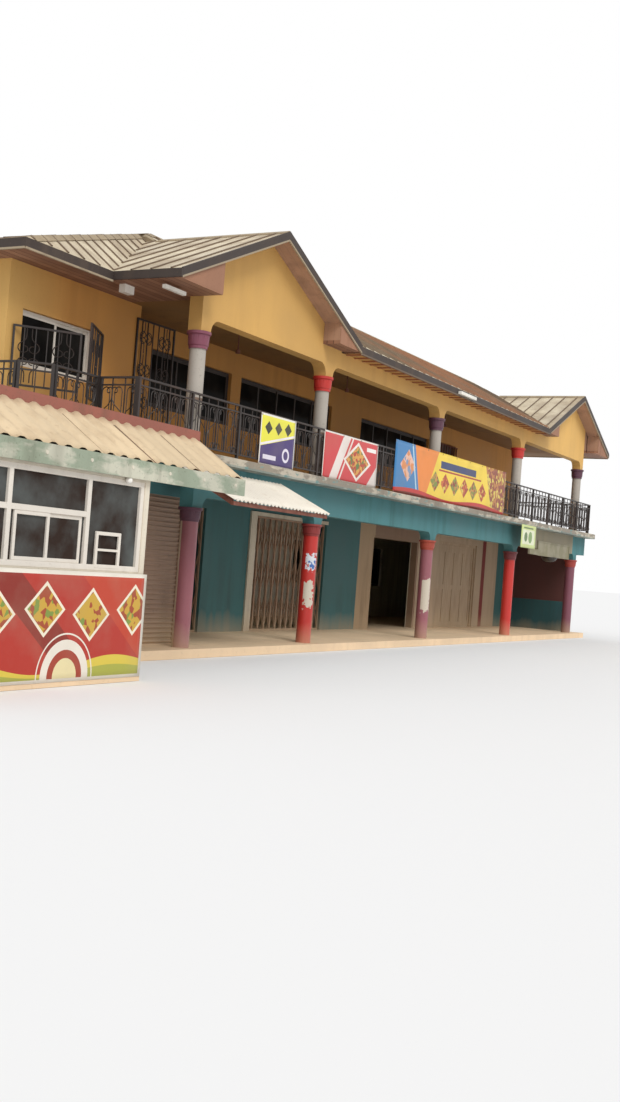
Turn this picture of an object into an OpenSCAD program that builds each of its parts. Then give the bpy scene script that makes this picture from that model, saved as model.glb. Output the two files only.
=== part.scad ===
// Two-storey corner shop building with a columned porch below, an open
// veranda above and two front gables on a ribbed metal roof.
// Millimetres, +Z up. The front faces -Y. The origin is on the ground at the
// middle of the walled plan.

/* [Plan] */
// Half of the walled length, left to right
half_len = 12900; // [12500:50:13500]
// Half of the depth, from the column line to the rear face
half_depth = 3000; // [2900:50:3300]
// Distance from the column line back to the shop and veranda wall
porch_depth = 2200; // [1800:50:2400]
// Distance from the column line back to the front of the left room
left_room_setback = 1500; // [1300:50:1700]
// Thickness of the rendered block walls
wall_t = 200; // [150:10:230]

/* [Levels] */
// Top of the ground floor slab
floor_z = 150; // [100:10:200]
// Top of the balcony slab
upper_z = 3350; // [3300:10:3500]
// Thickness of the balcony slab
slab_t = 150; // [120:10:180]
// Top of the roof sheet at the eaves
eave_z = 6050; // [6000:10:6150]
// Top of the roof sheet at the main ridge
ridge_z = 7800; // [7600:10:8000]
// Top of the roof sheet at the ridge of each front gable
gable_z = 7450; // [7300:10:7500]

/* [Columns] */
// Diameter of the round columns
col_d = 290; // [260:5:320]
// Underside of the lower capitals
low_cap_z = 2230; // [2150:10:2280]
// Top of the lower capitals
low_cap_top = 2460; // [2400:10:2500]
// Underside of the upper capitals
up_cap_z = 5055; // [5000:10:5100]
// Top of the upper capitals
up_cap_top = 5340; // [5300:10:5380]

/* [Beams] */
// Straight soffit of the lower beam
low_beam_z = 2650; // [2600:10:2700]
// Straight soffit of the upper beam
up_beam_z = 5580; // [5540:10:5640]
// Thickness of both beams, front to back
beam_t = 260; // [220:10:280]
// Radius of the rounded haunch beside each column
haunch_r = 230; // [180:10:260]

/* [Roof] */
// Half of the width of each front gable at the eaves
gable_half = 3150; // [3000:50:3250]
// Overhang of the front and rear eaves
eave_out = 500; // [400:50:600]
// Thickness of the roof sheet with its battens
sheet_t = 45; // [40:5:60]
// Depth of the fascia
fascia_h = 130; // [110:10:240]
// Thickness of the fascia
fascia_t = 35; // [25:5:45]

/* [Balustrade] */
// Height of the balustrade above the balcony
rail_h = 950; // [900:10:1050]
// Side of the handrail and the posts
rail_w = 45; // [35:5:55]
// Side of the plain upright bars
bar_w = 16; // [14:1:20]
// Greatest spacing of the upright bars
bar_gap = 280; // [200:10:320]

/* [Kiosk] */
// Right face of the food kiosk
kiosk_right = -13800; // [-13900:10:-13700]
// Width of the kiosk
kiosk_w = 4100; // [3900:50:4400]
// Distance of the kiosk's front face before the column line
kiosk_reach = 2000; // [1900:10:2100]
// Depth of the kiosk
kiosk_d = 2000; // [1800:50:2100]
// Top of the kiosk's counter wall
counter_z = 1400; // [1300:10:1450]
// Top of the kiosk's windows
kiosk_head_z = 2560; // [2500:10:2600]
// Right end of the canopy
canopy_right = -11600; // [-11650:10:-11500]

/* [Hidden] */

yellow = [0.89, 0.69, 0.33];
teal = [0.16, 0.42, 0.45];
salmon = [0.76, 0.42, 0.36];
red = [0.84, 0.16, 0.15];
purple = [0.45, 0.24, 0.36];
shaft_grey = [0.72, 0.69, 0.64];
iron = [0.10, 0.08, 0.08];
metal_sheet = [0.74, 0.69, 0.58];
fascia_brown = [0.28, 0.25, 0.25];
timber = [0.45, 0.29, 0.20];
concrete = [0.63, 0.58, 0.52];

col_x = [-10000, -5600, 200, 6100, 11900];
low_col_x = [-9850, -5600, 200, 6100, 11900];
front_y = -half_depth;
back_y = half_depth;
porch_y = front_y + porch_depth;
left_y = front_y + left_room_setback;
slab_bottom = upper_z - slab_t;
wall_top = 5900;
gable_x = [-8200, 10400];
left_room_x = -9600;

// The front edge of the balcony steps back beside the left room
slab_front = front_y - 450;
slab_left_front = front_y + 450;
slab_step_x = -11900;
slab_left = -13300;
slab_corner = 450;
kiosk_y = front_y - kiosk_reach;
kiosk_x0 = kiosk_right - kiosk_w;
kiosk_t = 100;
canopy_left = kiosk_x0 - 150;
canopy_y0 = kiosk_y - 60;
canopy_y1 = kiosk_y + 750;
canopy_z0 = 2825;
canopy_z1 = 3370;
canopy_slope = (canopy_z1 - canopy_z0) / (canopy_y1 - canopy_y0);
deck_y0 = canopy_y1 - 80;
deck_z = 3200;
shutter_y = slab_left_front + 50;

eave_front = front_y - eave_out;
eave_back = back_y + eave_out;
left_eave_y = -2200;
roof_left = -13400;
roof_right = gable_x[1] + gable_half;
ridge_left = -7500;
ridge_right = 10050;
gable_wall_left = col_x[0] - col_d / 2;
gable_wall_right = col_x[4] + col_d / 2;
gable_slope = (gable_z - eave_z) / gable_half;
main_slope = (ridge_z - eave_z) / (half_depth + eave_out);

// A wall along X with openings given as [x0, x1, z0, z1]
module wall_x(x0, x1, y0, z0, z1, holes = [], t = wall_t) {
    difference() {
        translate([x0, y0, z0]) cube([x1 - x0, t, z1 - z0]);
        for (h = holes)
            translate([h[0], y0 - 50, h[2]]) cube([h[1] - h[0], t + 100, h[3] - h[2]]);
    }
}

// A wall along Y with openings given as [y0, y1, z0, z1]
module wall_y(y0, y1, x0, z0, z1, holes = [], t = wall_t) {
    difference() {
        translate([x0, y0, z0]) cube([t, y1 - y0, z1 - z0]);
        for (h = holes)
            translate([x0 - 50, h[0], h[2]]) cube([t + 100, h[1] - h[0], h[3] - h[2]]);
    }
}

// An outline in X and Z, pushed along Y from y0 to y1
module push_y(y0, y1, pts) {
    translate([0, y1, 0]) rotate([90, 0, 0]) linear_extrude(y1 - y0) polygon(pts);
}

// An outline in Y and Z, pushed along X from x0 to x1
module push_x(x0, x1, pts) {
    translate([x0, 0, 0]) rotate([90, 0, 90]) linear_extrude(x1 - x0) polygon(pts);
}

// Ground floor

shop_holes = [
    [-8900, -6000, floor_z, 2640],
    [-4050, -750, floor_z, 2640],
    [1900, 4700, floor_z, 2500],
    [6300, 9300, floor_z, 2640]];
rear_x = [-10200, -5400, -600, 4200, 9000];
rear_w = 1200;
rear_sill = 1000;
rear_head = 2200;
shutter_hole = [-12000, -9250, floor_z, 2640];
shutter_right = -9000;

// The building's floor, and the kiosk's own floor before its left corner
module floor_slab() {
    color(concrete) {
        translate([-half_len, front_y - 300, 0])
            cube([2 * half_len, 2 * half_depth + 300, floor_z]);
        translate([kiosk_x0 - 60, kiosk_y - 20, 0]) cube([kiosk_w + 120, kiosk_d + 60, 100]);
    }
}

module ground_end_walls() {
    color(teal) {
        wall_y(shutter_y + wall_t, back_y - wall_t, -half_len, floor_z, slab_bottom);
        wall_y(front_y + 250, back_y - wall_t, half_len - wall_t, floor_z, slab_bottom);
    }
}

module ground_back_wall() {
    holes = [for (x = rear_x) [x, x + rear_w, floor_z + rear_sill, floor_z + rear_head]];
    color(teal) wall_x(-half_len, half_len, back_y - wall_t, floor_z, slab_bottom, holes);
}

module shop_wall() {
    color(teal)
        wall_x(-half_len + wall_t, half_len - wall_t, porch_y, floor_z, slab_bottom, shop_holes);
}

module shutter_walls() {
    color(teal) {
        wall_x(-half_len, shutter_right, shutter_y, floor_z, slab_bottom, [shutter_hole]);
        wall_y(shutter_y + wall_t, porch_y, shutter_right - wall_t, floor_z, slab_bottom);
    }
}

// A curtain of rounded slats between side guides, below its drum box
module roller_shutter() {
    w = shutter_hole[1] - shutter_hole[0];
    h = shutter_hole[3] - shutter_hole[2];
    slat = 80;
    color([0.36, 0.30, 0.27]) translate([shutter_hole[0], shutter_y + 60, floor_z]) {
        translate([20, 20, 0]) cube([w - 40, 20, h]);
        for (z = [0 : slat : h - slat])
            translate([30, 20, z + slat / 2]) rotate([0, 90, 0]) cylinder(h = w - 60, d = 44, $fn = 8);
        for (x = [0, w - 40])
            translate([x, 0, 0]) cube([40, 60, h]);
    }
}

// A collapsible lattice gate: channel uprights with crossed flat bars
module folding_gate(hole) {
    w = hole[1] - hole[0];
    h = hole[3] - hole[2];
    bays = round(w / 260);
    pitch = (w - 40) / bays;
    tiers = 3;
    tier_h = (h - 60) / tiers;
    translate([hole[0], porch_y + 60, hole[2]]) {
        for (i = [0 : bays])
            translate([i * pitch, 0, 0]) cube([40, 40, h]);
        for (z = [0, h - 40])
            translate([0, 0, z]) cube([w, 40, 40]);
        for (i = [0 : bays - 1], k = [0 : tiers - 1], s = [0, 1])
            lattice_bar(i * pitch + 20, 30 + k * tier_h, pitch, tier_h, s);
    }
}

// One flat bar of the lattice, from corner to corner of its cell
module lattice_bar(x, z, w, h, flip) {
    half = 12;
    zs = flip == 0 ? [0, h] : [h, 0];
    push_y(8, 32, [
        [x, z + zs[0] - half], [x + w, z + zs[1] - half],
        [x + w, z + zs[1] + half], [x, z + zs[0] + half]]);
}

// Two gates; the second has a wide painted post at its left and a head rail
module folding_gates() {
    hole = shop_holes[1];
    post_w = 240;
    color([0.42, 0.33, 0.27]) {
        for (i = [0, 1]) folding_gate(shop_holes[i]);
        translate([hole[0] - post_w, porch_y - 40, floor_z]) cube([post_w, 38, hole[3] - floor_z + 80]);
        translate([hole[0] + 2, porch_y - 40, hole[3]]) cube([hole[1] - hole[0] - 4, 38, 80]);
    }
}

// Closed folding doors of the fourth shop, and the kiosk's side door
module shop_doors() {
    hole = shop_holes[3];
    leaf = (hole[1] - hole[0] - 160) / 4;
    h = hole[3] - hole[2];
    color([0.70, 0.62, 0.50]) translate([hole[0], porch_y + 40, hole[2]]) {
        for (x = [0, hole[1] - hole[0] - 80])
            translate([x, 0, 0]) cube([80, 120, h]);
        translate([80, 0, h - 80]) cube([hole[1] - hole[0] - 160, 120, 80]);
        for (i = [0 : 3]) translate([80 + i * leaf, 40, 0]) difference() {
            cube([leaf, 45, h - 80]);
            for (z = [160, 1250]) translate([110, -1, z]) cube([leaf - 220, 16, 950]);
            if (i > 0) translate([-1, -1, 0]) cube([6, 20, h]);
        }
    }
    color([0.84, 0.82, 0.78])
        translate([kiosk_right - 70, kiosk_y + kiosk_d - 995, 105]) difference() {
            cube([45, 790, 1990]);
            for (z = [200, 1050]) translate([35, 120, z]) cube([20, 550, 700]);
        }
}

// Sliding sashes: a frame with a middle stile and glass behind
module sash_window(w, h, panes) {
    f = 50;
    pane = (w - f) / panes;
    difference() {
        cube([w, 60, h]);
        for (i = [0 : panes - 1])
            translate([f + i * pane, -1, f]) cube([pane - f, 62, h - 2 * f]);
    }
    translate([f / 2, 26, f / 2]) cube([w - f, 8, h - f]);
}

module rear_windows() {
    h = rear_head - rear_sill;
    color([0.20, 0.24, 0.26]) for (x = rear_x) {
        translate([x, back_y - 130, floor_z + rear_sill]) sash_window(rear_w, h, 2);
        translate([x, back_y - 130, upper_z + 1000]) sash_window(rear_w, 1100, 2);
    }
}

// Columns, capitals and beams

module lower_columns() {
    for (i = [0 : 4]) color(i % 2 == 0 ? purple : red)
        translate([low_col_x[i], front_y, floor_z]) cylinder(h = low_cap_z - floor_z, d = col_d, $fn = 48);
}

module upper_columns() {
    color(shaft_grey) for (x = col_x)
        translate([x, front_y, upper_z]) cylinder(h = up_cap_z - upper_z, d = col_d - 20, $fn = 48);
}

// A turned capital with a fluted bell between two rings
module capital(z0, z1) {
    h = z1 - z0;
    r = col_d / 2;
    translate([0, 0, z0]) difference() {
        rotate_extrude($fn = 48) polygon([
            [0, 0], [r + 12, 0], [r + 12, h * 0.14], [r + 26, h * 0.22],
            [r + 34, h * 0.78], [r + 58, h * 0.84], [r + 58, h], [0, h]]);
        for (a = [0 : 30 : 330]) rotate([0, 0, a])
            translate([r + 40, 0, h * 0.26]) cylinder(h = h * 0.5, d = 26, $fn = 6);
    }
}

module lower_capitals() {
    for (i = [0 : 4]) color(i % 2 == 0 ? salmon : red)
        translate([low_col_x[i], front_y, 0]) capital(low_cap_z, low_cap_top);
}

module upper_capitals() {
    for (i = [0 : 4]) color(i % 2 == 0 ? purple : red)
        translate([col_x[i], front_y, 0]) capital(up_cap_z, up_cap_top);
}

// The space below a beam between two columns, with rounded top corners
module bay_space(x0, x1, z0, z1, r) {
    steps = 6;
    left = [for (i = [0 : steps]) let (a = 180 - i * 90 / steps)
        [x0 + r + r * cos(a), z1 - r + r * sin(a)]];
    right = [for (i = [0 : steps]) let (a = 90 - i * 90 / steps)
        [x1 - r + r * cos(a), z1 - r + r * sin(a)]];
    push_y(front_y - beam_t, front_y + beam_t, concat([[x0, z0]], left, right, [[x1, z0]]));
}

// A beam on the column line: solid over the columns and cut between them
module beam(x0, x1, cols, cap_top, soffit, top) {
    r = soffit - cap_top;
    difference() {
        translate([x0, front_y - beam_t / 2, cap_top]) cube([x1 - x0, beam_t, top - cap_top]);
        for (i = [0 : 3])
            bay_space(cols[i] + col_d / 2, cols[i + 1] - col_d / 2, cap_top - 10, soffit, min(r, haunch_r));
        translate([cols[4] + col_d / 2, front_y - beam_t, cap_top - 10])
            cube([x1 - cols[4], 2 * beam_t, r + 10]);
    }
}

module lower_beam() {
    color(teal) beam(low_col_x[0] - col_d / 2, half_len, low_col_x, low_cap_top, low_beam_z, slab_bottom);
}

module upper_beam() {
    color(yellow) beam(col_x[0] - col_d / 2, col_x[4] + col_d / 2, col_x, up_cap_top, up_beam_z, wall_top);
}

// Upper floor

module balcony_slab() {
    r = slab_corner;
    corner = [for (a = [180 : 15 : 270])
        [slab_left + r + r * cos(a), slab_left_front + r + r * sin(a)]];
    color(concrete) translate([0, 0, slab_bottom]) linear_extrude(slab_t) polygon(concat(
        [[slab_left, porch_y]], corner, [[slab_step_x, slab_left_front],
        [slab_step_x, slab_front], [half_len, slab_front],
        [half_len, back_y], [-half_len, back_y], [-half_len, porch_y]]));
}

veranda_holes = [
    [-8240, -5450, 4370, 5440], [-5070, -960, 4350, 5440], [650, 4950, 4360, 5400]];
door_hole = [5750, 6980, upper_z, 5430];
left_window_hole = [-12560, -10840, 4350, 5220];
gate_hole = [-9400, -8650, upper_z, 5430];

module upper_end_walls() {
    color(yellow) {
        wall_y(left_y, back_y, -half_len, upper_z, wall_top);
        wall_y(porch_y, back_y, half_len - wall_t, upper_z, wall_top);
    }
}

module upper_back_wall() {
    holes = [for (x = rear_x) [x, x + rear_w, upper_z + 1000, upper_z + 2100]];
    color(yellow)
        wall_x(-half_len + wall_t, half_len - wall_t, back_y - wall_t, upper_z, wall_top, holes);
}

module veranda_wall() {
    color(yellow) wall_x(left_room_x, half_len - wall_t, porch_y, upper_z, wall_top,
        concat(veranda_holes, [door_hole, gate_hole]));
}

module left_room_walls() {
    color(yellow) {
        wall_x(-half_len + wall_t, left_room_x, left_y, upper_z, wall_top, [left_window_hole]);
        wall_y(left_y + wall_t, porch_y + wall_t, left_room_x - wall_t, upper_z, wall_top);
    }
}

module upper_windows() {
    color([0.07, 0.08, 0.09]) {
        for (h = veranda_holes) translate([h[0], porch_y + 70, h[2]])
            sash_window(h[1] - h[0], h[3] - h[2], max(2, round((h[1] - h[0]) / 900)));
        translate([left_window_hole[0], left_y + 70, left_window_hole[2]])
            sash_window(left_window_hole[1] - left_window_hole[0], left_window_hole[3] - left_window_hole[2], 2);
    }
}

module veranda_doors() {
    color([0.20, 0.13, 0.10]) for (hole = [door_hole, gate_hole]) {
        w = hole[1] - hole[0];
        h = hole[3] - hole[2];
        translate([hole[0], porch_y + 80, hole[2]]) difference() {
            cube([w, 50, h]);
            for (z = [180, 1150]) translate([140, -1, z]) cube([w - 280, 16, 780]);
        }
    }
}

// A flat iron grille: a frame with upright bars
module iron_panel(w, h, bars) {
    t = 30;
    cube([w, t, t]);
    translate([0, 0, h - t]) cube([w, t, t]);
    for (x = [0, w - t]) translate([x, 0, 0]) cube([t, t, h]);
    for (i = [1 : bars]) translate([i * w / (bars + 1) - bar_w / 2, 7, t - 1])
        cube([bar_w, bar_w, h - 2 * t + 2]);
}

// The left window's security grille: two leaves that stand half open
module window_grille() {
    h = left_window_hole;
    leaf = (h[1] - h[0]) / 2 + 190;
    low = h[2] - 330;
    tall = 1180;
    color(iron) {
        translate([h[0] - 220, left_y - 34, low]) rotate([0, 0, -38]) iron_panel(leaf, tall - 260, 5);
        translate([h[1] + 220, left_y - 4, low]) rotate([0, 0, 208]) iron_panel(leaf, tall, 5);
    }
}

// The security gate of the veranda, hung on the corner of the left room
module upper_gate() {
    color(iron) translate([left_room_x - 120, left_y - 36, upper_z + 20]) rotate([0, 0, -2])
        iron_panel(1080, 2310, 6);
}

// Balustrade

// A straight run along X: handrail, lower rails, posts and upright bars
module rail_run(len) {
    n = ceil(len / 1500);
    bays = ceil(len / bar_gap);
    low = 90;
    second = rail_h - 140;
    translate([0, 0, rail_h - 30]) cube([len, rail_w, 30]);
    translate([0, 10, second]) cube([len, 24, 24]);
    translate([0, 10, low]) cube([len, 24, 24]);
    for (i = [0 : n]) translate([i * (len - rail_w) / n, 0, 0]) cube([rail_w, rail_w, rail_h - 29]);
    for (i = [1 : bays - 1]) translate([i * len / bays - bar_w / 2, 14, low]) cube([bar_w, bar_w, rail_h - low - 29]);
}

rail_y = slab_front + 200;
left_rail_y = slab_left_front + 60;

module front_balustrade() {
    color(iron) translate([slab_step_x + 60, rail_y, upper_z])
        rail_run(half_len - 60 - (slab_step_x + 60));
}

// The runs beside the left room, round the corner and back, and the right end
module side_balustrades() {
    cut = slab_corner - 60;
    x0 = slab_left + 50;
    x1 = slab_step_x + 60;
    color(iron) {
        translate([x0 + cut, left_rail_y, upper_z]) rail_run(x1 - x0 - cut - 2);
        translate([x1 + rail_w, rail_y + rail_w + 2, upper_z]) rotate([0, 0, 90])
            rail_run(left_rail_y - rail_y - rail_w - 4);
        translate([x0 + cut - 24, left_rail_y + 12, upper_z]) rotate([0, 0, 135])
            rail_run(cut * sqrt(2) - 20);
        translate([x0 + rail_w - 14, left_rail_y + cut + 20, upper_z]) rotate([0, 0, 90])
            rail_run(porch_y - 60 - left_rail_y - cut);
        translate([half_len - 60, rail_y + rail_w + 2, upper_z]) rotate([0, 0, 90])
            rail_run(porch_y - (rail_y + rail_w) - 10);
    }
}

// Roof

slope_main = [[eave_front, eave_z], [0, ridge_z], [eave_back, eave_z]];
slope_left = [[left_eave_y, eave_z], [0, ridge_z], [eave_back, eave_z]];

// Everything under the main roof surfaces, down to the eave level
module main_body(drop = 0) {
    translate([0, 0, -drop]) intersection() {
        union() {
            push_x(gable_x[0], roof_right, slope_main);
            push_x(roof_left, gable_x[0] + 1, slope_left);
        }
        push_y(eave_front - 10, eave_back + 10, [
            [roof_left, eave_z], [ridge_left, ridge_z], [ridge_right, ridge_z], [roof_right, eave_z]]);
    }
}

// Everything under one front gable
module gable_body(x, drop = 0) {
    translate([0, 0, -drop]) push_y(eave_front, 0, [
        [x - gable_half, eave_z], [x, gable_z], [x + gable_half, eave_z]]);
}

// Flat boards over the rooms and under the eaves, and the boards under the
// gables' overhangs with their boxed feet
module soffits() {
    notch = front_y + 72;
    drop = sheet_t + 60;
    box = [gable_wall_left - gable_x[0] + gable_half + 10, 900];
    color(timber) {
        translate([0, 0, wall_top]) linear_extrude(25) polygon([
            [roof_left, left_eave_y], [gable_x[0] - gable_half, left_eave_y],
            [gable_x[0] - gable_half, eave_front], [gable_wall_left, eave_front],
            [gable_wall_left, notch], [gable_x[0] + gable_half, notch],
            [gable_x[0] + gable_half, eave_front], [gable_x[1] - gable_half, eave_front],
            [gable_x[1] - gable_half, notch], [gable_wall_right, notch],
            [gable_wall_right, eave_front], [roof_right, eave_front],
            [roof_right, eave_back], [roof_left, eave_back]]);
        for (i = [0, 1]) let (x = gable_x[i], a = box[i], b = box[1 - i]) {
            push_y(eave_front + 2, front_y - beam_t / 2 - 2, [
                [x - gable_half + a, eave_z + a * gable_slope - drop], [x, gable_z - drop],
                [x + gable_half - b, eave_z + b * gable_slope - drop],
                [x + gable_half - b, eave_z + b * gable_slope - drop - 20],
                [x, gable_z - drop - 22], [x - gable_half + a, eave_z + a * gable_slope - drop - 20]]);
            boxed_foot(x, -1, a);
            boxed_foot(x, 1, b);
        }
    }
}

module main_roof() {
    color(metal_sheet) difference() {
        union() {
            main_body();
            eave_edge(sheet_t);
        }
        main_body(sheet_t);
        for (x = gable_x) gable_body(x, sheet_t);
    }
}

// A thin lip along the eaves, so that the sheet ends square
module eave_edge(t) {
    lip = 30;
    translate([gable_x[0] + gable_half, eave_front, eave_z - t])
        cube([gable_x[1] - gable_x[0] - 2 * gable_half, lip, t]);
    translate([roof_left, eave_back - lip, eave_z - t]) cube([roof_right - roof_left, lip, t]);
    translate([roof_left, left_eave_y, eave_z - t])
        cube([gable_x[0] - gable_half - roof_left, lip, t]);
    translate([roof_left, left_eave_y, eave_z - t]) cube([lip, eave_back - left_eave_y, t]);
    translate([roof_right - lip, 0, eave_z - t]) cube([lip, eave_back, t]);
}

module gable_roofs() {
    color(metal_sheet) for (x = gable_x) difference() {
        gable_body(x);
        gable_body(x, sheet_t);
        main_body();
    }
}

// Rolled cappings along the ridges
module ridge_caps() {
    color(metal_sheet) {
        cap_run_x(ridge_left, ridge_right, ridge_z);
        for (x = gable_x) push_y(eave_front - 20, -760, [
            [x - 160, gable_z - 160 * gable_slope + 2], [x, gable_z + 2], [x + 160, gable_z - 160 * gable_slope + 2],
            [x + 160, gable_z - 160 * gable_slope + 20], [x, gable_z + 22], [x - 160, gable_z - 160 * gable_slope + 20]]);
    }
}

module cap_run_x(x0, x1, z0) {
    d = 160;
    push_x(x0, x1, [
        [-d, z0 - d * main_slope + 2], [0, z0 + 2], [d, z0 - d * main_slope + 2],
        [d, z0 - d * main_slope + 20], [0, z0 + 22], [-d, z0 - d * main_slope + 20]]);
}

// Fascias along every eave and up the rakes of the gables
module rake_fascia(x) {
    top = gable_z + 10;
    low = eave_z + 10;
    push_y(eave_front - fascia_t, eave_front - 2, [
        [x - gable_half, low], [x, top], [x + gable_half, low],
        [x + gable_half, low - fascia_h], [x, top - fascia_h - 10], [x - gable_half, low - fascia_h]]);
}

module fascias() {
    z = eave_z - sheet_t - fascia_h + 30;
    x0 = gable_x[0] + gable_half;
    color(fascia_brown) {
        for (x = gable_x) rake_fascia(x);
        translate([x0, eave_front - fascia_t, z])
            cube([gable_x[1] - gable_half - x0, fascia_t - 2, fascia_h]);
        translate([gable_x[0] - gable_half - fascia_t, eave_front - fascia_t, z])
            cube([fascia_t - 2, left_eave_y - eave_front, fascia_h]);
        translate([roof_left - fascia_t, left_eave_y - fascia_t, z])
            cube([gable_x[0] - gable_half - roof_left + fascia_t - 2, fascia_t - 2, fascia_h]);
        translate([roof_left - fascia_t, left_eave_y - fascia_t, z])
            cube([fascia_t - 2, eave_back - left_eave_y + 2 * fascia_t, fascia_h]);
        translate([roof_left - fascia_t, eave_back + 2, z])
            cube([roof_right - roof_left + 2 * fascia_t, fascia_t - 2, fascia_h]);
        translate([roof_right + 2, eave_front - fascia_t, z])
            cube([fascia_t - 2, eave_back - eave_front + 2 * fascia_t, fascia_h]);
    }
}

// The closed box at the foot of a rake, as long as run
module boxed_foot(x, side, run) {
    low = wall_top + 27;
    under = sheet_t + 12;
    push_y(eave_front + 2, front_y - beam_t / 2 - 2, [
        [x + side * (gable_half - 10), low], [x + side * (gable_half - 10), eave_z - under],
        [x + side * (gable_half - run), eave_z + run * gable_slope - under],
        [x + side * (gable_half - run), low]]);
}

// A rendered gable above the beam, cut to the underside of the roof
module gable_wall(x, x0, x1) {
    under = sheet_t + 4;
    push_y(front_y - beam_t / 2, front_y + 70, [
        [x0, wall_top], [x1, wall_top],
        [x1, eave_z - under + (x + gable_half - x1) * gable_slope],
        [x, gable_z - under],
        [x0, eave_z - under + (x0 - (x - gable_half)) * gable_slope]]);
}

module gable_walls() {
    color(yellow) {
        gable_wall(gable_x[0], gable_wall_left, gable_x[0] + gable_half - 100);
        gable_wall(gable_x[1], gable_x[1] - gable_half + 100, gable_wall_right);
    }
}

// Fittings

awn_x0 = -10900;
awn_x1 = -7740;
awn_back = slab_front - 4;
awn_front = -4500;
awn_z0 = 3050;
awn_z1 = 2550;

module awning_sheet() {
    color([0.90, 0.87, 0.82]) push_x(awn_x0, awn_x1, [
        [awn_back, awn_z0], [awn_front, awn_z1], [awn_front, awn_z1 + 25], [awn_back, awn_z0 + 25]]);
}

module awning_frame() {
    drop = (awn_z0 - awn_z1) / (awn_back - awn_front);
    color(red) {
        translate([awn_x0 + 30, awn_front + 40, awn_z1 - 60]) cube([awn_x1 - awn_x0 - 60, 50, 60]);
        for (i = [0 : 4]) let (x = awn_x0 + 60 + i * (awn_x1 - awn_x0 - 170) / 4) push_x(x, x + 50, [
            [awn_front + 92, awn_z1 - 60], [awn_front + 92, awn_z1 + 92 * drop - 2],
            [awn_back, awn_z0 - 2], [awn_back, awn_z0 - 80]]);
    }
}

rail_face = rail_y - 4;

module banner(x0, x1, z0, z1, y = rail_face) {
    translate([x0, y - 8, z0]) cube([x1 - x0, 8, z1 - z0]);
}

module yellow_banner() { color([0.88, 0.86, 0.20]) banner(-8240, -6980, 3360, 4280); }
module red_banner() { color([0.80, 0.25, 0.28]) banner(-5840, -3410, 3360, 4290); }
module wide_banner() { color([0.92, 0.80, 0.25]) banner(-2540, 4570, 3360, 4520); }
module green_poster() { color([0.70, 0.82, 0.45]) banner(5580, 6830, 2590, 3220, slab_front - 2); }

// Lamp drops on the veranda ceiling, a junction box and two tube lights
module light_fittings() {
    color([0.92, 0.90, 0.86]) {
        for (x = [-7190, -2610, 3100, 9000]) translate([x, -2000, wall_top - 320]) {
            cylinder(h = 320, d = 24, $fn = 16);
            translate([0, 0, -60]) cylinder(h = 70, d = 90, $fn = 24);
        }
        translate([-11130, -2290, wall_top - 130]) cube([240, 120, 130]);
        translate([gable_x[0] - gable_half + 120, eave_front + 350, wall_top - 120]) cube([560, 70, 60]);
        translate([100, eave_front - fascia_t - 80, eave_z - 140]) cube([1000, 78, 70]);
    }
}

// Food kiosk before the left corner, under a lean-to canopy

// Counter wall, header, end walls cut to the canopy's slope, and back wall
module kiosk_walls() {
    x0 = kiosk_x0;
    y1 = kiosk_y + kiosk_d;
    head = canopy_z0 - 90;
    side = [[kiosk_y, 100], [kiosk_y, head], [deck_y0, head + (deck_y0 - kiosk_y) * canopy_slope],
        [deck_y0, deck_z], [y1, deck_z], [y1, 100]];
    color([0.90, 0.87, 0.80]) difference() {
        union() {
            push_x(x0, x0 + kiosk_t, side);
            push_x(kiosk_right - kiosk_t, kiosk_right, side);
            wall_x(x0, kiosk_right, kiosk_y, 100, counter_z, t = kiosk_t);
            wall_x(x0, kiosk_right, kiosk_y, kiosk_head_z, head, t = kiosk_t);
            wall_x(x0, kiosk_right, y1 - kiosk_t, 100, deck_z, t = kiosk_t);
        }
        translate([kiosk_right - 2 * kiosk_t, y1 - 1000, 100]) cube([3 * kiosk_t, 800, 2000]);
    }
}

// Painted frames: a fixed left light, a slider under a fanlight, a tall light
// with a small serving hatch, and one glass sheet behind them
module kiosk_windows() {
    x0 = kiosk_x0 + kiosk_t;
    x1 = kiosk_right - kiosk_t;
    m0 = kiosk_right - 2680;
    m1 = kiosk_right - 1250;
    transom = 2035;
    f = 70;
    lights = [
        [x0 + f, m0, counter_z + f, transom], [x0 + f, m0, transom + 75, kiosk_head_z - f],
        [m0 + 280, m0 + 760, counter_z + 80, transom - 45],
        [m0 + 820, m1 - 60, counter_z + 80, transom - 45],
        [m0 + 220, m1, transom + 75, kiosk_head_z - f],
        [m1 + 150, x1 - f, counter_z + f, kiosk_head_z - f]];
    color([0.93, 0.92, 0.89]) translate([0, kiosk_y + 10, 0]) {
        difference() {
            translate([x0, 0, counter_z]) cube([x1 - x0, 60, kiosk_head_z - counter_z]);
            for (p = lights) translate([p[0], -1, p[2]]) cube([p[1] - p[0], 62, p[3] - p[2]]);
        }
        difference() {
            translate([m1 + 150, 2, counter_z + 30]) cube([530, 56, 600]);
            translate([m1 + 200, 1, counter_z + 80]) cube([430, 58, 500]);
        }
        translate([x0 + f / 2, 26, counter_z + f / 2])
            cube([x1 - x0 - f, 8, kiosk_head_z - counter_z - f]);
    }
}

// Flat roof between the kiosk's walls, the canopy and the balcony slab
module kiosk_roof_deck() {
    color(timber) translate([canopy_left, deck_y0, deck_z])
        cube([slab_step_x - 4 - canopy_left, slab_left_front - deck_y0, 80]);
}

module kiosk_canopy() {
    color([0.80, 0.72, 0.60]) push_x(canopy_left, canopy_right, [
        [canopy_y1, canopy_z1], [canopy_y0, canopy_z0],
        [canopy_y0, canopy_z0 + 25], [canopy_y1, canopy_z1 + 25]]);
}

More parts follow.
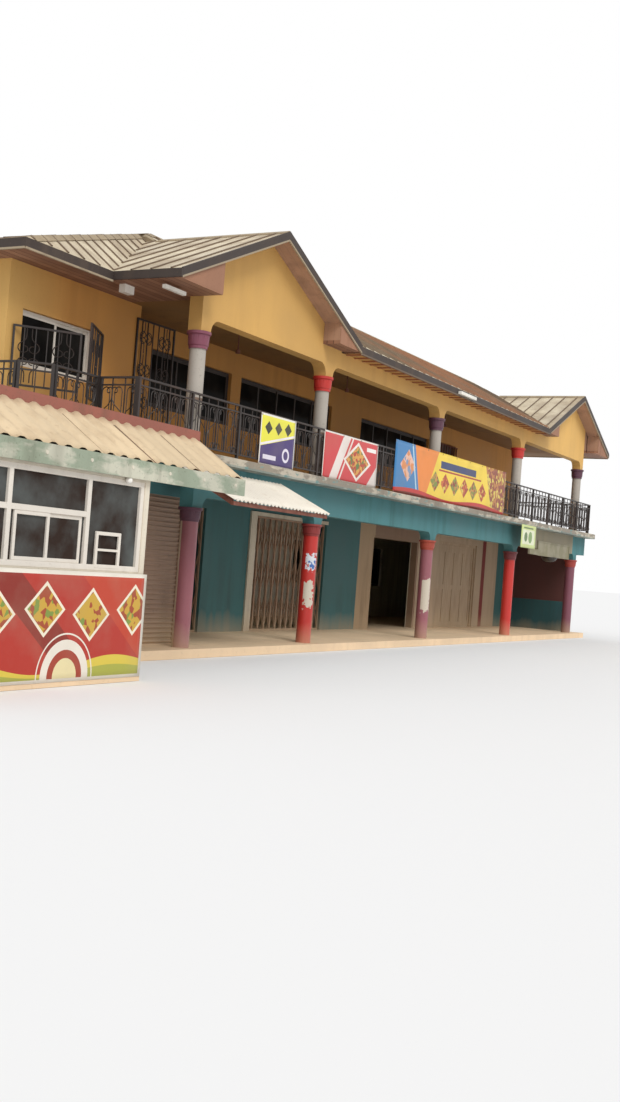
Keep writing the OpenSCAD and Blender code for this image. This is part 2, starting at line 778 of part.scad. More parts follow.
// Rafters, the sign board below the canopy's edge and the board along its top
module canopy_boards() {
    n = 7;
    pitch = (canopy_right - canopy_left - 160) / (n - 1);
    run = deck_y0 - canopy_y0;
    under = canopy_z0 - 2;
    color(timber) for (i = [0 : n - 1]) push_x(canopy_left + 55 + i * pitch, canopy_left + 105 + i * pitch, [
        [canopy_y0, under], [deck_y0, under + run * canopy_slope],
        [deck_y0, under - 78 + run * canopy_slope], [canopy_y0, under - 78]]);
    color([0.70, 0.76, 0.70]) translate([canopy_left, canopy_y0 - 30, canopy_z0 - 240])
        cube([canopy_right - canopy_left, 28, 240]);
    color(salmon) translate([canopy_left, canopy_y1 + 2, deck_z + 80])
        cube([canopy_right - canopy_left, 35, 230]);
}

module kiosk_banner() {
    color([0.84, 0.25, 0.16]) banner(kiosk_x0 - 20, kiosk_right + 50, 60, counter_z - 20, kiosk_y - 22);
}

floor_slab();
ground_end_walls();
ground_back_wall();
shop_wall();
shutter_walls();
roller_shutter();
folding_gates();
shop_doors();
rear_windows();
lower_columns();
lower_capitals();
lower_beam();
balcony_slab();
upper_end_walls();
upper_back_wall();
veranda_wall();
left_room_walls();
upper_columns();
upper_capitals();
upper_beam();
gable_walls();
soffits();
main_roof();
gable_roofs();
fascias();
ridge_caps();
front_balustrade();
side_balustrades();
upper_windows();
veranda_doors();
window_grille();
upper_gate();
awning_sheet();
awning_frame();
yellow_banner();
red_banner();
wide_banner();
green_poster();
light_fittings();
kiosk_walls();
kiosk_windows();
kiosk_roof_deck();
kiosk_canopy();
canopy_boards();
kiosk_banner();
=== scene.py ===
import math

import bmesh
import bpy
from mathutils import Matrix, Vector


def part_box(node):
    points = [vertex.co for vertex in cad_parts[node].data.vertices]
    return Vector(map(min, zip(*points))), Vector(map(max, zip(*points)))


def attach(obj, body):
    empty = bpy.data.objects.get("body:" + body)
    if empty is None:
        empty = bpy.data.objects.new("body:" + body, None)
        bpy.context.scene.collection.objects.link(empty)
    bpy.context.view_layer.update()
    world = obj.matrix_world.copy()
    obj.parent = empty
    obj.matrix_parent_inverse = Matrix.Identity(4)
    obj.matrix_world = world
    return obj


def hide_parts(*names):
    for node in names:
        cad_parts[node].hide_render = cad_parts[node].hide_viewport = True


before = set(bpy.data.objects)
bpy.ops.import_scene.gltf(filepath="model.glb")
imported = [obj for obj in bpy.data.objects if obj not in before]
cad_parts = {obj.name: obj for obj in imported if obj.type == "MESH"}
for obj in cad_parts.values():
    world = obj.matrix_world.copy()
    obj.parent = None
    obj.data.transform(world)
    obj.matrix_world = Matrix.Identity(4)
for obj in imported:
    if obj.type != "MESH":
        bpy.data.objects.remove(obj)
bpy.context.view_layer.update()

# Rendered walls of the ground floor: hollow blocks with cement render, painted
# teal. The pier beside the open shop has lost its paint, and the bays on the
# right were done in beige. Rain stains run down, and dust lies low.


def tint(code):
    """A written colour such as "#e2b86c" as linear values."""
    parts = [int(code[i:i + 2], 16) / 255 for i in (1, 3, 5)]
    return (*[p / 12.92 if p < 0.04 else ((p + 0.055) / 1.055) ** 2.4 for p in parts], 1)


def feed(tree, sockets, feeds):
    """Links or sets each input. A colour may be a written one."""
    for key, value in feeds.items():
        if isinstance(value, bpy.types.NodeSocket):
            tree.links.new(value, sockets[key])
        else:
            sockets[key].default_value = tint(value) if isinstance(value, str) else value


def add(tree, kind, feeds, out=0, **settings):
    """Adds a shader node, sets it, feeds its inputs, and gives back one output."""
    node = tree.nodes.new("ShaderNode" + kind)
    for name, value in settings.items():
        setattr(node, name, value)
    feed(tree, node.inputs, feeds)
    return node.outputs[out]


def calc(tree, operation, a, b=0.0):
    return add(tree, "Math", {0: a, 1: b}, operation=operation)


def total(tree, one, other):
    return calc(tree, "ADD", one, other)


def away(tree, value, middle):
    return calc(tree, "ABSOLUTE", calc(tree, "SUBTRACT", value, middle))


def spread(tree, value, low, high, to_low=0.0, to_high=1.0):
    """Maps low..high to to_low..to_high and holds the ends."""
    return add(tree, "MapRange", {0: value, 1: low, 2: high, 3: to_low, 4: to_high})


def mix(tree, mask, under, over, blend_type="MIX"):
    return add(tree, "MixRGB", {0: mask, 1: under, 2: over}, blend_type=blend_type)


def place(tree):
    return add(tree, "TexCoord", {}, out="Object")


def along(tree, axis):
    """The place on one axis, X, Y or Z, in metres."""
    return add(tree, "SeparateXYZ", {0: place(tree)}, out=axis)


def more(tree, value, limit):
    return calc(tree, "GREATER_THAN", value, limit)


def less(tree, value, limit):
    return calc(tree, "LESS_THAN", value, limit)


def above(tree, axis, limit):
    return more(tree, along(tree, axis), limit)


def below(tree, axis, limit):
    return less(tree, along(tree, axis), limit)


def both(tree, one, other):
    return calc(tree, "MULTIPLY", one, other)


def noise(tree, scale, detail=4.0, stretch=(1, 1, 1), where=None):
    at = add(tree, "Mapping", {"Vector": where or place(tree), "Scale": stretch})
    return add(tree, "TexNoise", {"Vector": at, "Scale": scale, "Detail": detail})


def new_group(name, takes, gives):
    """A shader node group with named inputs (their defaults) and outputs."""
    group = bpy.data.node_groups.new(name, "ShaderNodeTree")
    for label, default in takes.items():
        kind = "NodeSocketColor" if isinstance(default, tuple) else "NodeSocketFloat"
        group.interface.new_socket(label, in_out="INPUT", socket_type=kind).default_value = default
    for label, kind in gives.items():
        group.interface.new_socket(label, in_out="OUTPUT", socket_type="NodeSocket" + kind)
    inside = group.nodes.new("NodeGroupInput").outputs
    result = group.nodes.new("NodeGroupOutput").inputs
    return group, inside, result


GREY = (0.5, 0.5, 0.5, 1.0)
wear, inside, result = new_group(
    "weathering",
    {"Paint": GREY, "Stain": GREY, "Dust": GREY, "Staining": 0.5, "Dust Top": -1.0, "Grain": 30.0},
    {"Color": "Color", "Roughness": "Float", "Height": "Float"})
cloud = noise(wear, 0.55, 7)
runs = noise(wear, 1.0, 7, (3.6, 3.6, 0.45))
grain = add(wear, "TexNoise", {"Vector": place(wear), "Scale": inside["Grain"], "Detail": 4.0})
uneven = spread(wear, cloud, 0.3, 0.7, 0.86, 1.08)
shade = add(wear, "CombineColor", {0: uneven, 1: uneven, 2: uneven})
coat = mix(wear, 1.0, inside["Paint"], shade, "MULTIPLY")
wet = both(wear, spread(wear, runs, 0.46, 0.8), spread(wear, cloud, 0.38, 0.62))
coat = mix(wear, both(wear, wet, inside["Staining"]), coat, inside["Stain"])
specks = both(wear, spread(wear, grain, 0.6, 0.72), inside["Staining"])
coat = mix(wear, both(wear, specks, 0.5), coat, inside["Stain"])
splash = total(wear, along(wear, "Z"), both(wear, runs, -0.5))
settled = calc(wear, "SUBTRACT", inside["Dust Top"], splash)
coat = mix(wear, spread(wear, settled, 0.0, 0.7, 0.0, 0.75), coat, inside["Dust"])
wear.links.new(coat, result["Color"])
wear.links.new(spread(wear, cloud, 0.3, 0.7, 0.6, 0.85), result["Roughness"])
wear.links.new(total(wear, both(wear, grain, 0.3), cloud), result["Height"])

DUST = "#c3ab8a"


def bare_material(name, metallic=0.0, specular=0.4):
    material = bpy.data.materials.new(name)
    material.use_nodes = True
    tree = material.node_tree
    shader = tree.nodes["Principled BSDF"].inputs
    shader["Metallic"].default_value = metallic
    shader["Specular IOR Level"].default_value = specular
    return material, tree, shader


def bump(tree, shader, height, strength, distance):
    raised = add(tree, "Bump", {"Strength": strength, "Distance": distance, "Height": height})
    tree.links.new(raised, shader["Normal"])


def weathered(name, paint, stain, staining, dust_top=-1.0, grain=30.0, relief=0.004, gloss=0.0,
              metallic=0.0):
    """A worn coat. paint is a colour, or a function that makes its socket."""
    material, tree, shader = bare_material(name, metallic)
    group = tree.nodes.new("ShaderNodeGroup")
    group.node_tree = wear
    feed(tree, group.inputs, {
        "Paint": paint(tree) if callable(paint) else paint, "Stain": stain, "Dust": DUST,
        "Staining": staining, "Dust Top": dust_top, "Grain": grain})
    tree.links.new(group.outputs["Color"], shader["Base Color"])
    rough = calc(tree, "SUBTRACT", group.outputs["Roughness"], gloss)
    tree.links.new(rough, shader["Roughness"])
    bump(tree, shader, group.outputs["Height"], 0.35, relief)
    return material


def steps(tree, axis, places):
    """Colours along one axis: each (start, colour) holds up to the next start."""
    low, high = places[0][0], places[-1][0] + 1
    node = tree.nodes.new("ShaderNodeValToRGB")
    node.color_ramp.interpolation = "CONSTANT"
    points = node.color_ramp.elements
    points[0].color = tint(places[0][1])
    points[1].position = (places[-1][0] - low) / (high - low)
    points[1].color = tint(places[-1][1])
    for start, colour in places[1:-1]:
        points.new((start - low) / (high - low)).color = tint(colour)
    tree.links.new(spread(tree, along(tree, axis), low, high), node.inputs[0])
    return node.outputs[0]


def dress(material, *names):
    """Gives CAD nodes a material in place of their own."""
    for name in names:
        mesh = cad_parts[name].data
        mesh.materials.clear()
        mesh.materials.append(material)


TEAL = "#4b7d80"
SHADED_TEAL = "#416c6e"
DADO_TEAL = "#31595e"
BEIGE = "#b7a189"
MAROON = "#5d3835"
ROOM_CREAM = "#e6dcc8"
SOOT = "#3a332b"
HALL_FRONT, HALL_BACK = -0.62, 2.93
DADO_TOP = 1.1
END_WALL_INNER, END_WALL_MIDDLE = 12.0, 12.72


def shop_front_paint(tree):
    front = steps(tree, "X", [(-13, SHADED_TEAL), (1.0, "#b09678"), (1.9, "#8a6f5b"), (4.72, BEIGE),
                              (9.75, "#7c2f2c"), (10.1, BEIGE), (11.2, SHADED_TEAL)])
    return mix(tree, above(tree, "Y", HALL_FRONT), front, ROOM_CREAM)


def back_wall_paint(tree):
    return mix(tree, below(tree, "Y", HALL_BACK), TEAL, ROOM_CREAM)


def end_wall_paint(tree):
    """The inner face on the right is maroon over a teal dado."""
    inner = steps(tree, "Z", [(0, DADO_TEAL), (DADO_TOP, MAROON)])
    within = both(tree, above(tree, "X", END_WALL_INNER), below(tree, "X", END_WALL_MIDDLE))
    return mix(tree, within, TEAL, inner)


dress(weathered("teal render", TEAL, SOOT, 0.45, 0.45), "shutter_walls")
dress(weathered("back wall render", back_wall_paint, SOOT, 0.4, 0.45), "ground_back_wall")
dress(weathered("shop front render", shop_front_paint, SOOT, 0.5, 0.3, relief=0.006), "shop_wall")
dress(weathered("end wall render", end_wall_paint, SOOT, 0.4, 0.2), "ground_end_walls")

# The floor slab and the kiosk's floor: cement screed with a worn, dusty top
# and a few darker patches.

dress(weathered("cement screed", "#edd0ac", "#a98f72", 0.36, grain=18, relief=0.006), "floor_slab")

# The lower beam on the column line: cast concrete with rounded haunches, painted
# teal. In the right bay it was never painted and carries an old blank sign.


def lower_beam_paint(tree):
    return steps(tree, "X", [(-13, TEAL), (6.5, "#958b74"), (11.55, TEAL)])


dress(weathered("beam render", lower_beam_paint, "#2f4a48", 0.5), "lower_beam")

# Round columns of cast concrete with render, painted in gloss rose or red below
# and grey-white above, with dust at the foot and torn bills pasted on two.

COLUMN_LINE = -3.0


def torn_bill(tree, paint, centre_x, low, high, half, colour):
    """A ragged scrap of paper on the front of a column."""
    ragged = both(tree, calc(tree, "SUBTRACT", noise(tree, 14, 5), 0.5), 0.35)
    across = away(tree, along(tree, "X"), centre_x)
    up = away(tree, along(tree, "Z"), (low + high) / 2)
    inside_x = less(tree, total(tree, across, ragged), half)
    inside_z = less(tree, total(tree, up, ragged), (high - low) / 2)
    mask = both(tree, both(tree, inside_x, inside_z), below(tree, "Y", COLUMN_LINE))
    return mix(tree, mask, paint, colour)


def by_column(tree, colours):
    """One colour for each column, from the left."""
    return steps(tree, "X", list(zip((-12, -7, -2, 3, 9), colours)))


RED = "#c63730"
PURPLE = "#5f3b4b"
ROSE = "#9b5f67"


def shaft_paint(tree):
    paint = by_column(tree, (ROSE, RED, ROSE, RED, "#7d4a58"))
    pale_edge = both(tree, below(tree, "X", -9), above(tree, "Y", COLUMN_LINE + 0.05))
    paint = mix(tree, pale_edge, paint, "#cfc0ab")
    paint = torn_bill(tree, paint, -5.68, 1.58, 1.86, 0.09, "#dfe4ea")
    paint = torn_bill(tree, paint, -5.66, 1.62, 1.72, 0.05, "#4c73b5")
    paint = torn_bill(tree, paint, -5.7, 0.85, 1.35, 0.08, "#d8cdbb")
    return torn_bill(tree, paint, 0.1, 0.8, 1.55, 0.12, "#d5c9b6")


def upper_shaft_paint(tree):
    """Grey-white, with a dusty foot and a brown line where the handrail meets it."""
    return steps(tree, "Z", [(3.3, "#8e8377"), (3.62, "#b3aa9e"), (4.2, "#8a7262"), (4.25, "#b5ada2")])


dress(weathered("column gloss", shaft_paint, "#5b2a26", 0.35, 0.35, gloss=0.3), "lower_columns")
dress(weathered("upper column paint", upper_shaft_paint, "#6a5b4e", 0.55), "upper_columns")

# Turned capitals with fluted bells, cast in cement and painted red or purple.


def low_capital_paint(tree):
    return by_column(tree, (PURPLE, "#8d3330", "#ad4c3a", "#7a3a3c", "#a3443c"))


def high_capital_paint(tree):
    return by_column(tree, ("#84495a", RED, PURPLE, RED, PURPLE))


dress(weathered("lower capital paint", low_capital_paint, "#3b2320", 0.5, gloss=0.2), "lower_capitals")
dress(weathered("upper capital paint", high_capital_paint, "#3b2320", 0.45, gloss=0.25), "upper_capitals")

# The balcony slab: cast concrete with a cement screed. Its edge was painted teal
# and white in turn, and both coats have flaked to grey cement.

SLAB_DRIP, SLAB_TOP = 3.235, 3.349


def patchy(tree, under, over, low, high, *marks):
    """One colour over another in cloudy patches. marks are those of noise()."""
    return mix(tree, spread(tree, noise(tree, *marks), low, high), under, over)


def balcony_edge_paint(tree):
    cement = "#958b7d"
    paint = patchy(tree, cement, "#c2b8a6", 0.5, 0.56, 2.2, 8, (1, 1, 3))
    paint = patchy(tree, paint, "#7b9791", 0.6, 0.66, 6.5, 6, (0.6, 0.6, 2))
    edge = mix(tree, both(tree, below(tree, "Z", SLAB_DRIP), 0.4), paint, TEAL)
    return mix(tree, above(tree, "Z", SLAB_TOP), edge, cement)


dress(weathered("flaked cement edge", balcony_edge_paint, "#5c5348", 0.7, relief=0.01), "balcony_slab")

# The upper storey's render is golden yellow, with its light painted in: full
# yellow where the sun reaches it and a painted shade of orange-brown under the roof.

YELLOW = "#deb167"
YELLOW_SHADE = "#c98f4a"
UMBER = "#7a5330"


def yellow_with_painted_sun_and_shade(tree):
    """Painted sunlight on the outer faces and toward the left corner, painted shade in orange under the roof.
    """
    left = spread(tree, along(tree, "X"), -12.9, -11.5, 1.0, 0.0)
    right = above(tree, "X", 12.89)
    return mix(tree, calc(tree, "MAXIMUM", left, right), YELLOW_SHADE, YELLOW)


def street_yellow_with_painted_shade(tree):
    """Painted shade: a little deeper along the beam and the left gable than at the right gable."""
    return mix(tree, spread(tree, along(tree, "X"), 5.5, 8.5), "#d1a45e", YELLOW)


dress(weathered("yellow render", YELLOW, UMBER, 0.2), "upper_back_wall")
dress(weathered("street front render with painted shade", street_yellow_with_painted_shade, UMBER, 0.2), "upper_beam", "gable_walls")
dress(weathered("yellow render with painted sun and shade", yellow_with_painted_sun_and_shade, UMBER, 0.28), "veranda_wall", "left_room_walls",
      "upper_end_walls")

# Roof: long ribbed sheets in a faded cream coat on timber rafters. The raised
# ribs are folded into the sheet, and dark stains follow them down the slope.


def sheet_paint(tree):
    return patchy(tree, "#d9ccb1", "#baa98e", 0.42, 0.62, 1.3, 6)


roof_coat = weathered("faded sheet coat", sheet_paint, "#7f6a55", 0.55, grain=9, relief=0.003, gloss=0.15,
                      metallic=0.3)


def rib_paint(tree):
    """Red-brown and grey on the front slope between the gables, dark elsewhere."""
    between = both(tree, above(tree, "X", -5.3), below(tree, "X", 7.5))
    redder = total(tree, noise(tree, 0.35, 5), both(tree, along(tree, "X"), 0.02))
    stripes = mix(tree, spread(tree, redder, 0.42, 0.62), "#8b7b69", "#a97c60")
    return mix(tree, between, "#7d6b5a", stripes)


rib_coat = weathered("stained rib coat", rib_paint, "#5d4c3f", 0.55, metallic=0.3)
dress(roof_coat, "main_roof", "gable_roofs")
dress(weathered("ridge capping", "#a8977c", "#67513e", 0.6, metallic=0.3), "ridge_caps")

EAVE, RIDGE, GABLE_TOP = 6.05, 7.8, 7.45
EAVE_FRONT, LEFT_EAVE, EAVE_BACK = -3.5, -2.2, 3.5
ROOF_LEFT, ROOF_RIGHT, RIDGE_LEFT, RIDGE_RIGHT = -13.4, 13.55, -7.5, 10.05
GABLES, GABLE_HALF = (-8.2, 10.4), 3.15
GABLE_SLOPE = (GABLE_TOP - EAVE) / GABLE_HALF

slopes = {
    "front": lambda x, y: EAVE + (y - EAVE_FRONT) * (RIDGE - EAVE) / -EAVE_FRONT if x > GABLES[0]
    else EAVE + (y - LEFT_EAVE) * (RIDGE - EAVE) / -LEFT_EAVE,
    "back": lambda x, y: EAVE + (EAVE_BACK - y) * (RIDGE - EAVE) / EAVE_BACK,
    "left": lambda x, y: EAVE + (x - ROOF_LEFT) * (RIDGE - EAVE) / (RIDGE_LEFT - ROOF_LEFT),
    "right": lambda x, y: EAVE + (ROOF_RIGHT - x) * (RIDGE - EAVE) / (ROOF_RIGHT - RIDGE_RIGHT),
}


def gable_height(x, y):
    if y > 0:
        return 0
    return max(EAVE + (GABLE_HALF - abs(x - middle)) * GABLE_SLOPE for middle in GABLES)


def roof_height(x, y):
    return max(min(slope(x, y) for slope in slopes.values()), gable_height(x, y))


def bar(mesh, start, end, wide, high, up=(0, 0, 1)):
    """A straight bar between two points, wide across and high along up."""
    start, end, up = Vector(start), Vector(end), Vector(up)
    run = end - start
    side = run.cross(up).normalized()
    top = side.cross(run).normalized()
    turned = Matrix((side * wide, run, top * high)).transposed().to_4x4()
    bmesh.ops.create_cube(mesh, size=1, matrix=Matrix.Translation((start + end) / 2) @ turned)


def kept_mesh(name, mesh):
    data = bpy.data.meshes.new(name)
    mesh.to_mesh(data)
    mesh.free()
    return data


def placed(name, data):
    """A new object in the scene, at the origin."""
    thing = bpy.data.objects.new(name, data)
    bpy.context.scene.collection.objects.link(thing)
    return thing


def finish_piece(name, mesh, material, replaced=(), smooth=False):
    """Turns a bmesh into a finished piece that rides on the building."""
    bmesh.ops.recalc_face_normals(mesh, faces=mesh.faces)
    data = kept_mesh(name, mesh)
    data.materials.append(material)
    piece = placed(name, data)
    for face in data.polygons:
        face.use_smooth = smooth
    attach(piece, "root")
    if replaced:
        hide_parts(*replaced)
    return piece


RIB_PITCH, RIB_WIDE, RIB_HIGH, RIB_RISE = 0.38, 0.035, 0.024, 0.008


def rib_span(height, start, end):
    """The part of a rib's line where its own slope is the top of the roof."""
    samples = 500
    shortest = 8
    on = []
    for i in range(samples + 1):
        x, y = (a + (b - a) * i / samples for a, b in zip(start, end))
        z = height(x, y)
        if abs(z - roof_height(x, y)) < 0.002 and z >= EAVE - 0.001:
            on.append(Vector((x, y, z + RIB_RISE)))
    return (on[0], on[-1]) if len(on) > shortest else None


ribs = bmesh.new()
lines = []
across = [ROOF_LEFT + RIB_PITCH * (i + 0.5) for i in range(71)]
down = [EAVE_FRONT + RIB_PITCH * (i + 0.5) for i in range(19)]
for x in across:
    lines.append((slopes["front"], (x, EAVE_FRONT), (x, 0)))
    lines.append((slopes["back"], (x, 0), (x, EAVE_BACK)))
for y in down:
    lines.append((slopes["left"], (ROOF_LEFT, y), (RIDGE_LEFT, y)))
    lines.append((slopes["right"], (RIDGE_RIGHT, y), (ROOF_RIGHT, y)))
    if y < 0:
        for middle in GABLES:
            for side in (-1, 1):
                lines.append((gable_height, (middle + side * 0.01, y), (middle + side * GABLE_HALF, y)))
for height, start, end in lines:
    span = rib_span(height, start, end)
    if span:
        bar(ribs, *span, RIB_WIDE, RIB_HIGH)
finish_piece("roof_ribs", ribs, rib_coat)

# Hip caps: folded sheet nailed over the four hips, one wing on either slope. A
# small flashing closes the step between the two front slopes.

CAP_WING, CAP_THICK, CAP_LIFT = 0.13, 0.006, 0.012
STEP_X = GABLES[0]


def slope_normal(name, x, y):
    height, step = slopes[name], 0.01
    fall_x = height(x, y) - height(x + step, y)
    fall_y = height(x, y) - height(x, y + step)
    return Vector((fall_x, fall_y, step)).normalized()


def verts_of(geometry):
    return [v for v in geometry if isinstance(v, bmesh.types.BMVert)]


def plate(mesh, outline, depth):
    """A flat plate between its outline and the outline moved by depth."""
    face = mesh.faces.new([mesh.verts.new(corner) for corner in outline])
    far_side = bmesh.ops.extrude_face_region(mesh, geom=[face])["geom"]
    bmesh.ops.translate(mesh, verts=verts_of(far_side), vec=depth)


def front_y_at(eave, z):
    """The y where a front slope comes to a height, from the y of its eave."""
    return eave * (RIDGE - z) / (RIDGE - EAVE)


step_z = slopes["left"](STEP_X, 0)
upper_y, lower_y = front_y_at(EAVE_FRONT, step_z), front_y_at(LEFT_EAVE, step_z)
hips = [
    ("left", "front", (ROOF_LEFT, LEFT_EAVE), (STEP_X, lower_y)),
    ("left", "front", (STEP_X, upper_y), (RIDGE_LEFT, 0)),
    ("left", "back", (ROOF_LEFT, EAVE_BACK), (RIDGE_LEFT, 0)),
    ("right", "front", (ROOF_RIGHT, EAVE_FRONT), (RIDGE_RIGHT, 0)),
    ("right", "back", (ROOF_RIGHT, EAVE_BACK), (RIDGE_RIGHT, 0))]
caps = bmesh.new()
for end_slope, long_slope, low_end, high_end in hips:
    foot, head = (Vector((*end, slopes[end_slope](*end))) for end in (low_end, high_end))
    beside = foot.lerp(head, 0.3)
    for name, toward in ((end_slope, (0, -foot.y, 0)), (long_slope, (head.x - foot.x, 0, 0))):
        normal = slope_normal(name, beside.x, beside.y)
        inward = (head - foot).cross(normal).normalized() * CAP_WING / 2
        if inward.dot(Vector(toward)) < 0:
            inward.negate()
        shift = inward + normal * CAP_LIFT
        from_eave = foot.z < EAVE + 0.1
        low, high = foot.lerp(head, 0.03 if from_eave else 0), foot.lerp(head, 0.985)
        bar(caps, low + shift, high + shift, CAP_WING, CAP_THICK, normal)
low_z = GABLE_TOP - 0.02
flashing = [(front_y_at(EAVE_FRONT, low_z), low_z), (upper_y, step_z), (lower_y, step_z),
            (front_y_at(LEFT_EAVE, low_z), low_z)]
plate(caps, [(STEP_X + 0.004, y, z - 0.004) for y, z in flashing], (0.006, 0, 0))
hip_coat = weathered("hip capping", "#a8977c", "#67513e", 0.6, metallic=0.3)
finish_piece("hip_caps", caps, hip_coat)

# Fascias: dark coated boards along the eaves and rakes, with a pale drip lip
# nailed under the lower edge.

GAP_START, GAP_END = -5.06, 7.26


def lip_paint(tree):
    """Pale along the rakes and the left eave, brown between the gables."""
    return steps(tree, "X", [(-14, "#a5957d"), (GAP_START, "#6f6051"), (GAP_END, "#a5957d")])


dress(weathered("dark fascia coat", "#3f3530", "#6b5848", 0.45, gloss=0.1), "fascias")
LIP_OUT, LIP_WIDE, LIP_HIGH = 0.019, 0.03, 0.04
LIP_Z = 5.895
FRONT, BACK, LEFT_FRONT = EAVE_FRONT - LIP_OUT, EAVE_BACK + LIP_OUT, LEFT_EAVE - LIP_OUT
LEFT, RIGHT = ROOF_LEFT - LIP_OUT, ROOF_RIGHT + LIP_OUT
lips = bmesh.new()
for middle in GABLES:
    for side in (-1, 1):
        low_end = (middle + side * GABLE_HALF, FRONT, EAVE - 0.13)
        bar(lips, low_end, (middle, FRONT, GABLE_TOP - 0.14), LIP_WIDE, LIP_HIGH)
lip_runs = [
    ((GABLES[0] + GABLE_HALF, FRONT), (GABLES[1] - GABLE_HALF, FRONT)),
    ((LEFT, LEFT_FRONT), (GABLES[0] - GABLE_HALF - LIP_OUT, LEFT_FRONT)),
    ((LEFT, LEFT_FRONT), (LEFT, BACK)),
    ((LEFT, BACK), (RIGHT, BACK)),
    ((RIGHT, EAVE_FRONT), (RIGHT, BACK))]
for start, end in lip_runs:
    bar(lips, (*start, LIP_Z), (*end, LIP_Z), LIP_WIDE, LIP_HIGH)
finish_piece("fascia_lips", lips, weathered("drip lip", lip_paint, "#6f5d4c", 0.6))

# Soffits: varnished boards under the eaves and rakes, and plywood over the
# veranda. Battens cross the open eave between the gables, and an upright board
# closes the gap beside the right gable's boxed foot.

BOARD_WIDTH = 0.14


def board_paint(tree):
    """Boards each in their own brown, with dark joints. The boxed feet have
    plain faces, the veranda has ochre plywood, and the open eave is ochre."""
    at = calc(tree, "DIVIDE", along(tree, "Y"), BOARD_WIDTH)
    own = add(tree, "TexWhiteNoise", {"W": calc(tree, "FLOOR", at)}, noise_dimensions="1D")
    joint = less(tree, calc(tree, "FRACT", at), 0.08)
    boards = mix(tree, joint, mix(tree, own, "#8f6650", "#a97e64"), "#3f2a20")
    boards = mix(tree, both(tree, above(tree, "Z", 5.99), 0.8), boards, "#b8937a")
    boards = mix(tree, below(tree, "Y", -3.49), boards, "#a1745a")
    veranda = both(tree, above(tree, "Y", -2.9), above(tree, "X", -9.9))
    boards = mix(tree, veranda, boards, "#8f6a3d")
    gap = both(tree, above(tree, "X", GAP_START + 0.02), below(tree, "X", GAP_END - 0.02))
    return mix(tree, both(tree, gap, below(tree, "Y", -2.9)), boards, "#c0904f")


BOARDS = weathered("varnished boards", board_paint, "#4a3226", 0.5)
dress(BOARDS, "soffits")
FROM_X, TO_X, GAP_Y, GAP_LOW = 12.046, 12.45, -3.11, 5.926
outline = [(FROM_X, GAP_Y, GAP_LOW), (TO_X, GAP_Y, GAP_LOW)]
outline += [(x, GAP_Y, gable_height(x, GAP_Y) - 0.05) for x in (TO_X, FROM_X)]
gap_board = bmesh.new()
plate(gap_board, outline, (0, 0.02, 0))
finish_piece("gable_gap_board", gap_board, BOARDS)

BATTENS, FIRST_BATTEN, LAST_BATTEN = 34, -4.95, 7.1
battens = bmesh.new()
for i in range(BATTENS):
    x = FIRST_BATTEN + i * (LAST_BATTEN - FIRST_BATTEN) / (BATTENS - 1)
    bar(battens, (x, -3.46, 5.89), (x, -3.14, 5.89), 0.04, 0.02)
bar(battens, (-5.0, -3.47, 5.893), (7.2, -3.47, 5.893), 0.03, 0.014)
batten_coat = weathered("red-brown battens", "#9c5e42", "#5b3626", 0.4)
finish_piece("eave_battens", battens, batten_coat)

# Balustrades: black wrought iron. The rails, posts and bars are the solids;
# each gap also has a hairpin arch, a small scroll and a long S between the bars.

IRON = weathered("black iron paint", "#342d2a", "#6b4430", 0.35, grain=60, relief=0.001, gloss=0.25)
dress(IRON, "front_balustrade", "side_balustrades", "window_grille", "upper_gate")


def bent_rod(mesh, start, radius, moves):
    """A four-sided rod in the XZ plane, going up: lines and turns in order."""
    ring = bmesh.ops.create_circle(mesh, cap_ends=True, segments=4, radius=radius,
                                   matrix=Matrix.Translation(start))["verts"]
    heading, here = 90.0, Vector(start)
    for kind, *sizes in moves:
        edges = [e for e in mesh.edges if set(e.verts) <= set(ring)]
        way = Vector((math.cos(math.radians(heading)), 0, math.sin(math.radians(heading))))
        if kind == "line":
            ring = verts_of(bmesh.ops.extrude_edge_only(mesh, edges=edges)["geom"])
            bmesh.ops.translate(mesh, verts=ring, vec=way * sizes[0])
            here += way * sizes[0]
        else:
            reach, angle = sizes
            turn, axis = math.radians(angle), (0, -1, 0)
            centre = here + Vector((-way.z, 0, way.x)) * math.copysign(reach, angle)
            made = bmesh.ops.spin(mesh, geom=edges, cent=centre, axis=axis, angle=turn,
                                  steps=max(3, round(abs(angle) / 30)))
            ring = verts_of(made["geom_last"])
            here = centre + Matrix.Rotation(turn, 3, axis) @ (here - centre)
            heading += angle
    bmesh.ops.contextual_create(mesh, geom=ring)


def stamp(mesh, unit, matrix):
    """Copies a small finished mesh into a bigger one at a place."""
    had = len(mesh.verts)
    mesh.from_mesh(unit)
    mesh.verts.ensure_lookup_table()
    bmesh.ops.transform(mesh, matrix=matrix, verts=mesh.verts[had:])


ROD, FOOT, HALF_HAIRPIN = 0.009, 0.1, 0.07
rail_gaps = []
for side in (1, -1):
    curl = [("turn", 0.05, side * -200), ("turn", 0.03, side * -120)]
    gap = bmesh.new()
    bent_rod(gap, (-HALF_HAIRPIN, 0, FOOT), ROD, [
        ("line", 0.62), ("turn", HALF_HAIRPIN, -180), ("line", 0.62)])
    bent_rod(gap, (0, 0, FOOT), ROD, [
        ("line", 0.06), ("turn", 0.045, side * 190), ("turn", 0.04, side * -150), ("line", 0.02), *curl])
    bent_rod(gap, (side * 0.12, 0.004, FOOT), ROD, [
        ("line", 0.16), ("turn", 0.24, side * 60), ("turn", 0.24, side * -60), ("line", 0.06), *curl])
    rail_gaps.append(kept_mesh("rail_gap", gap))

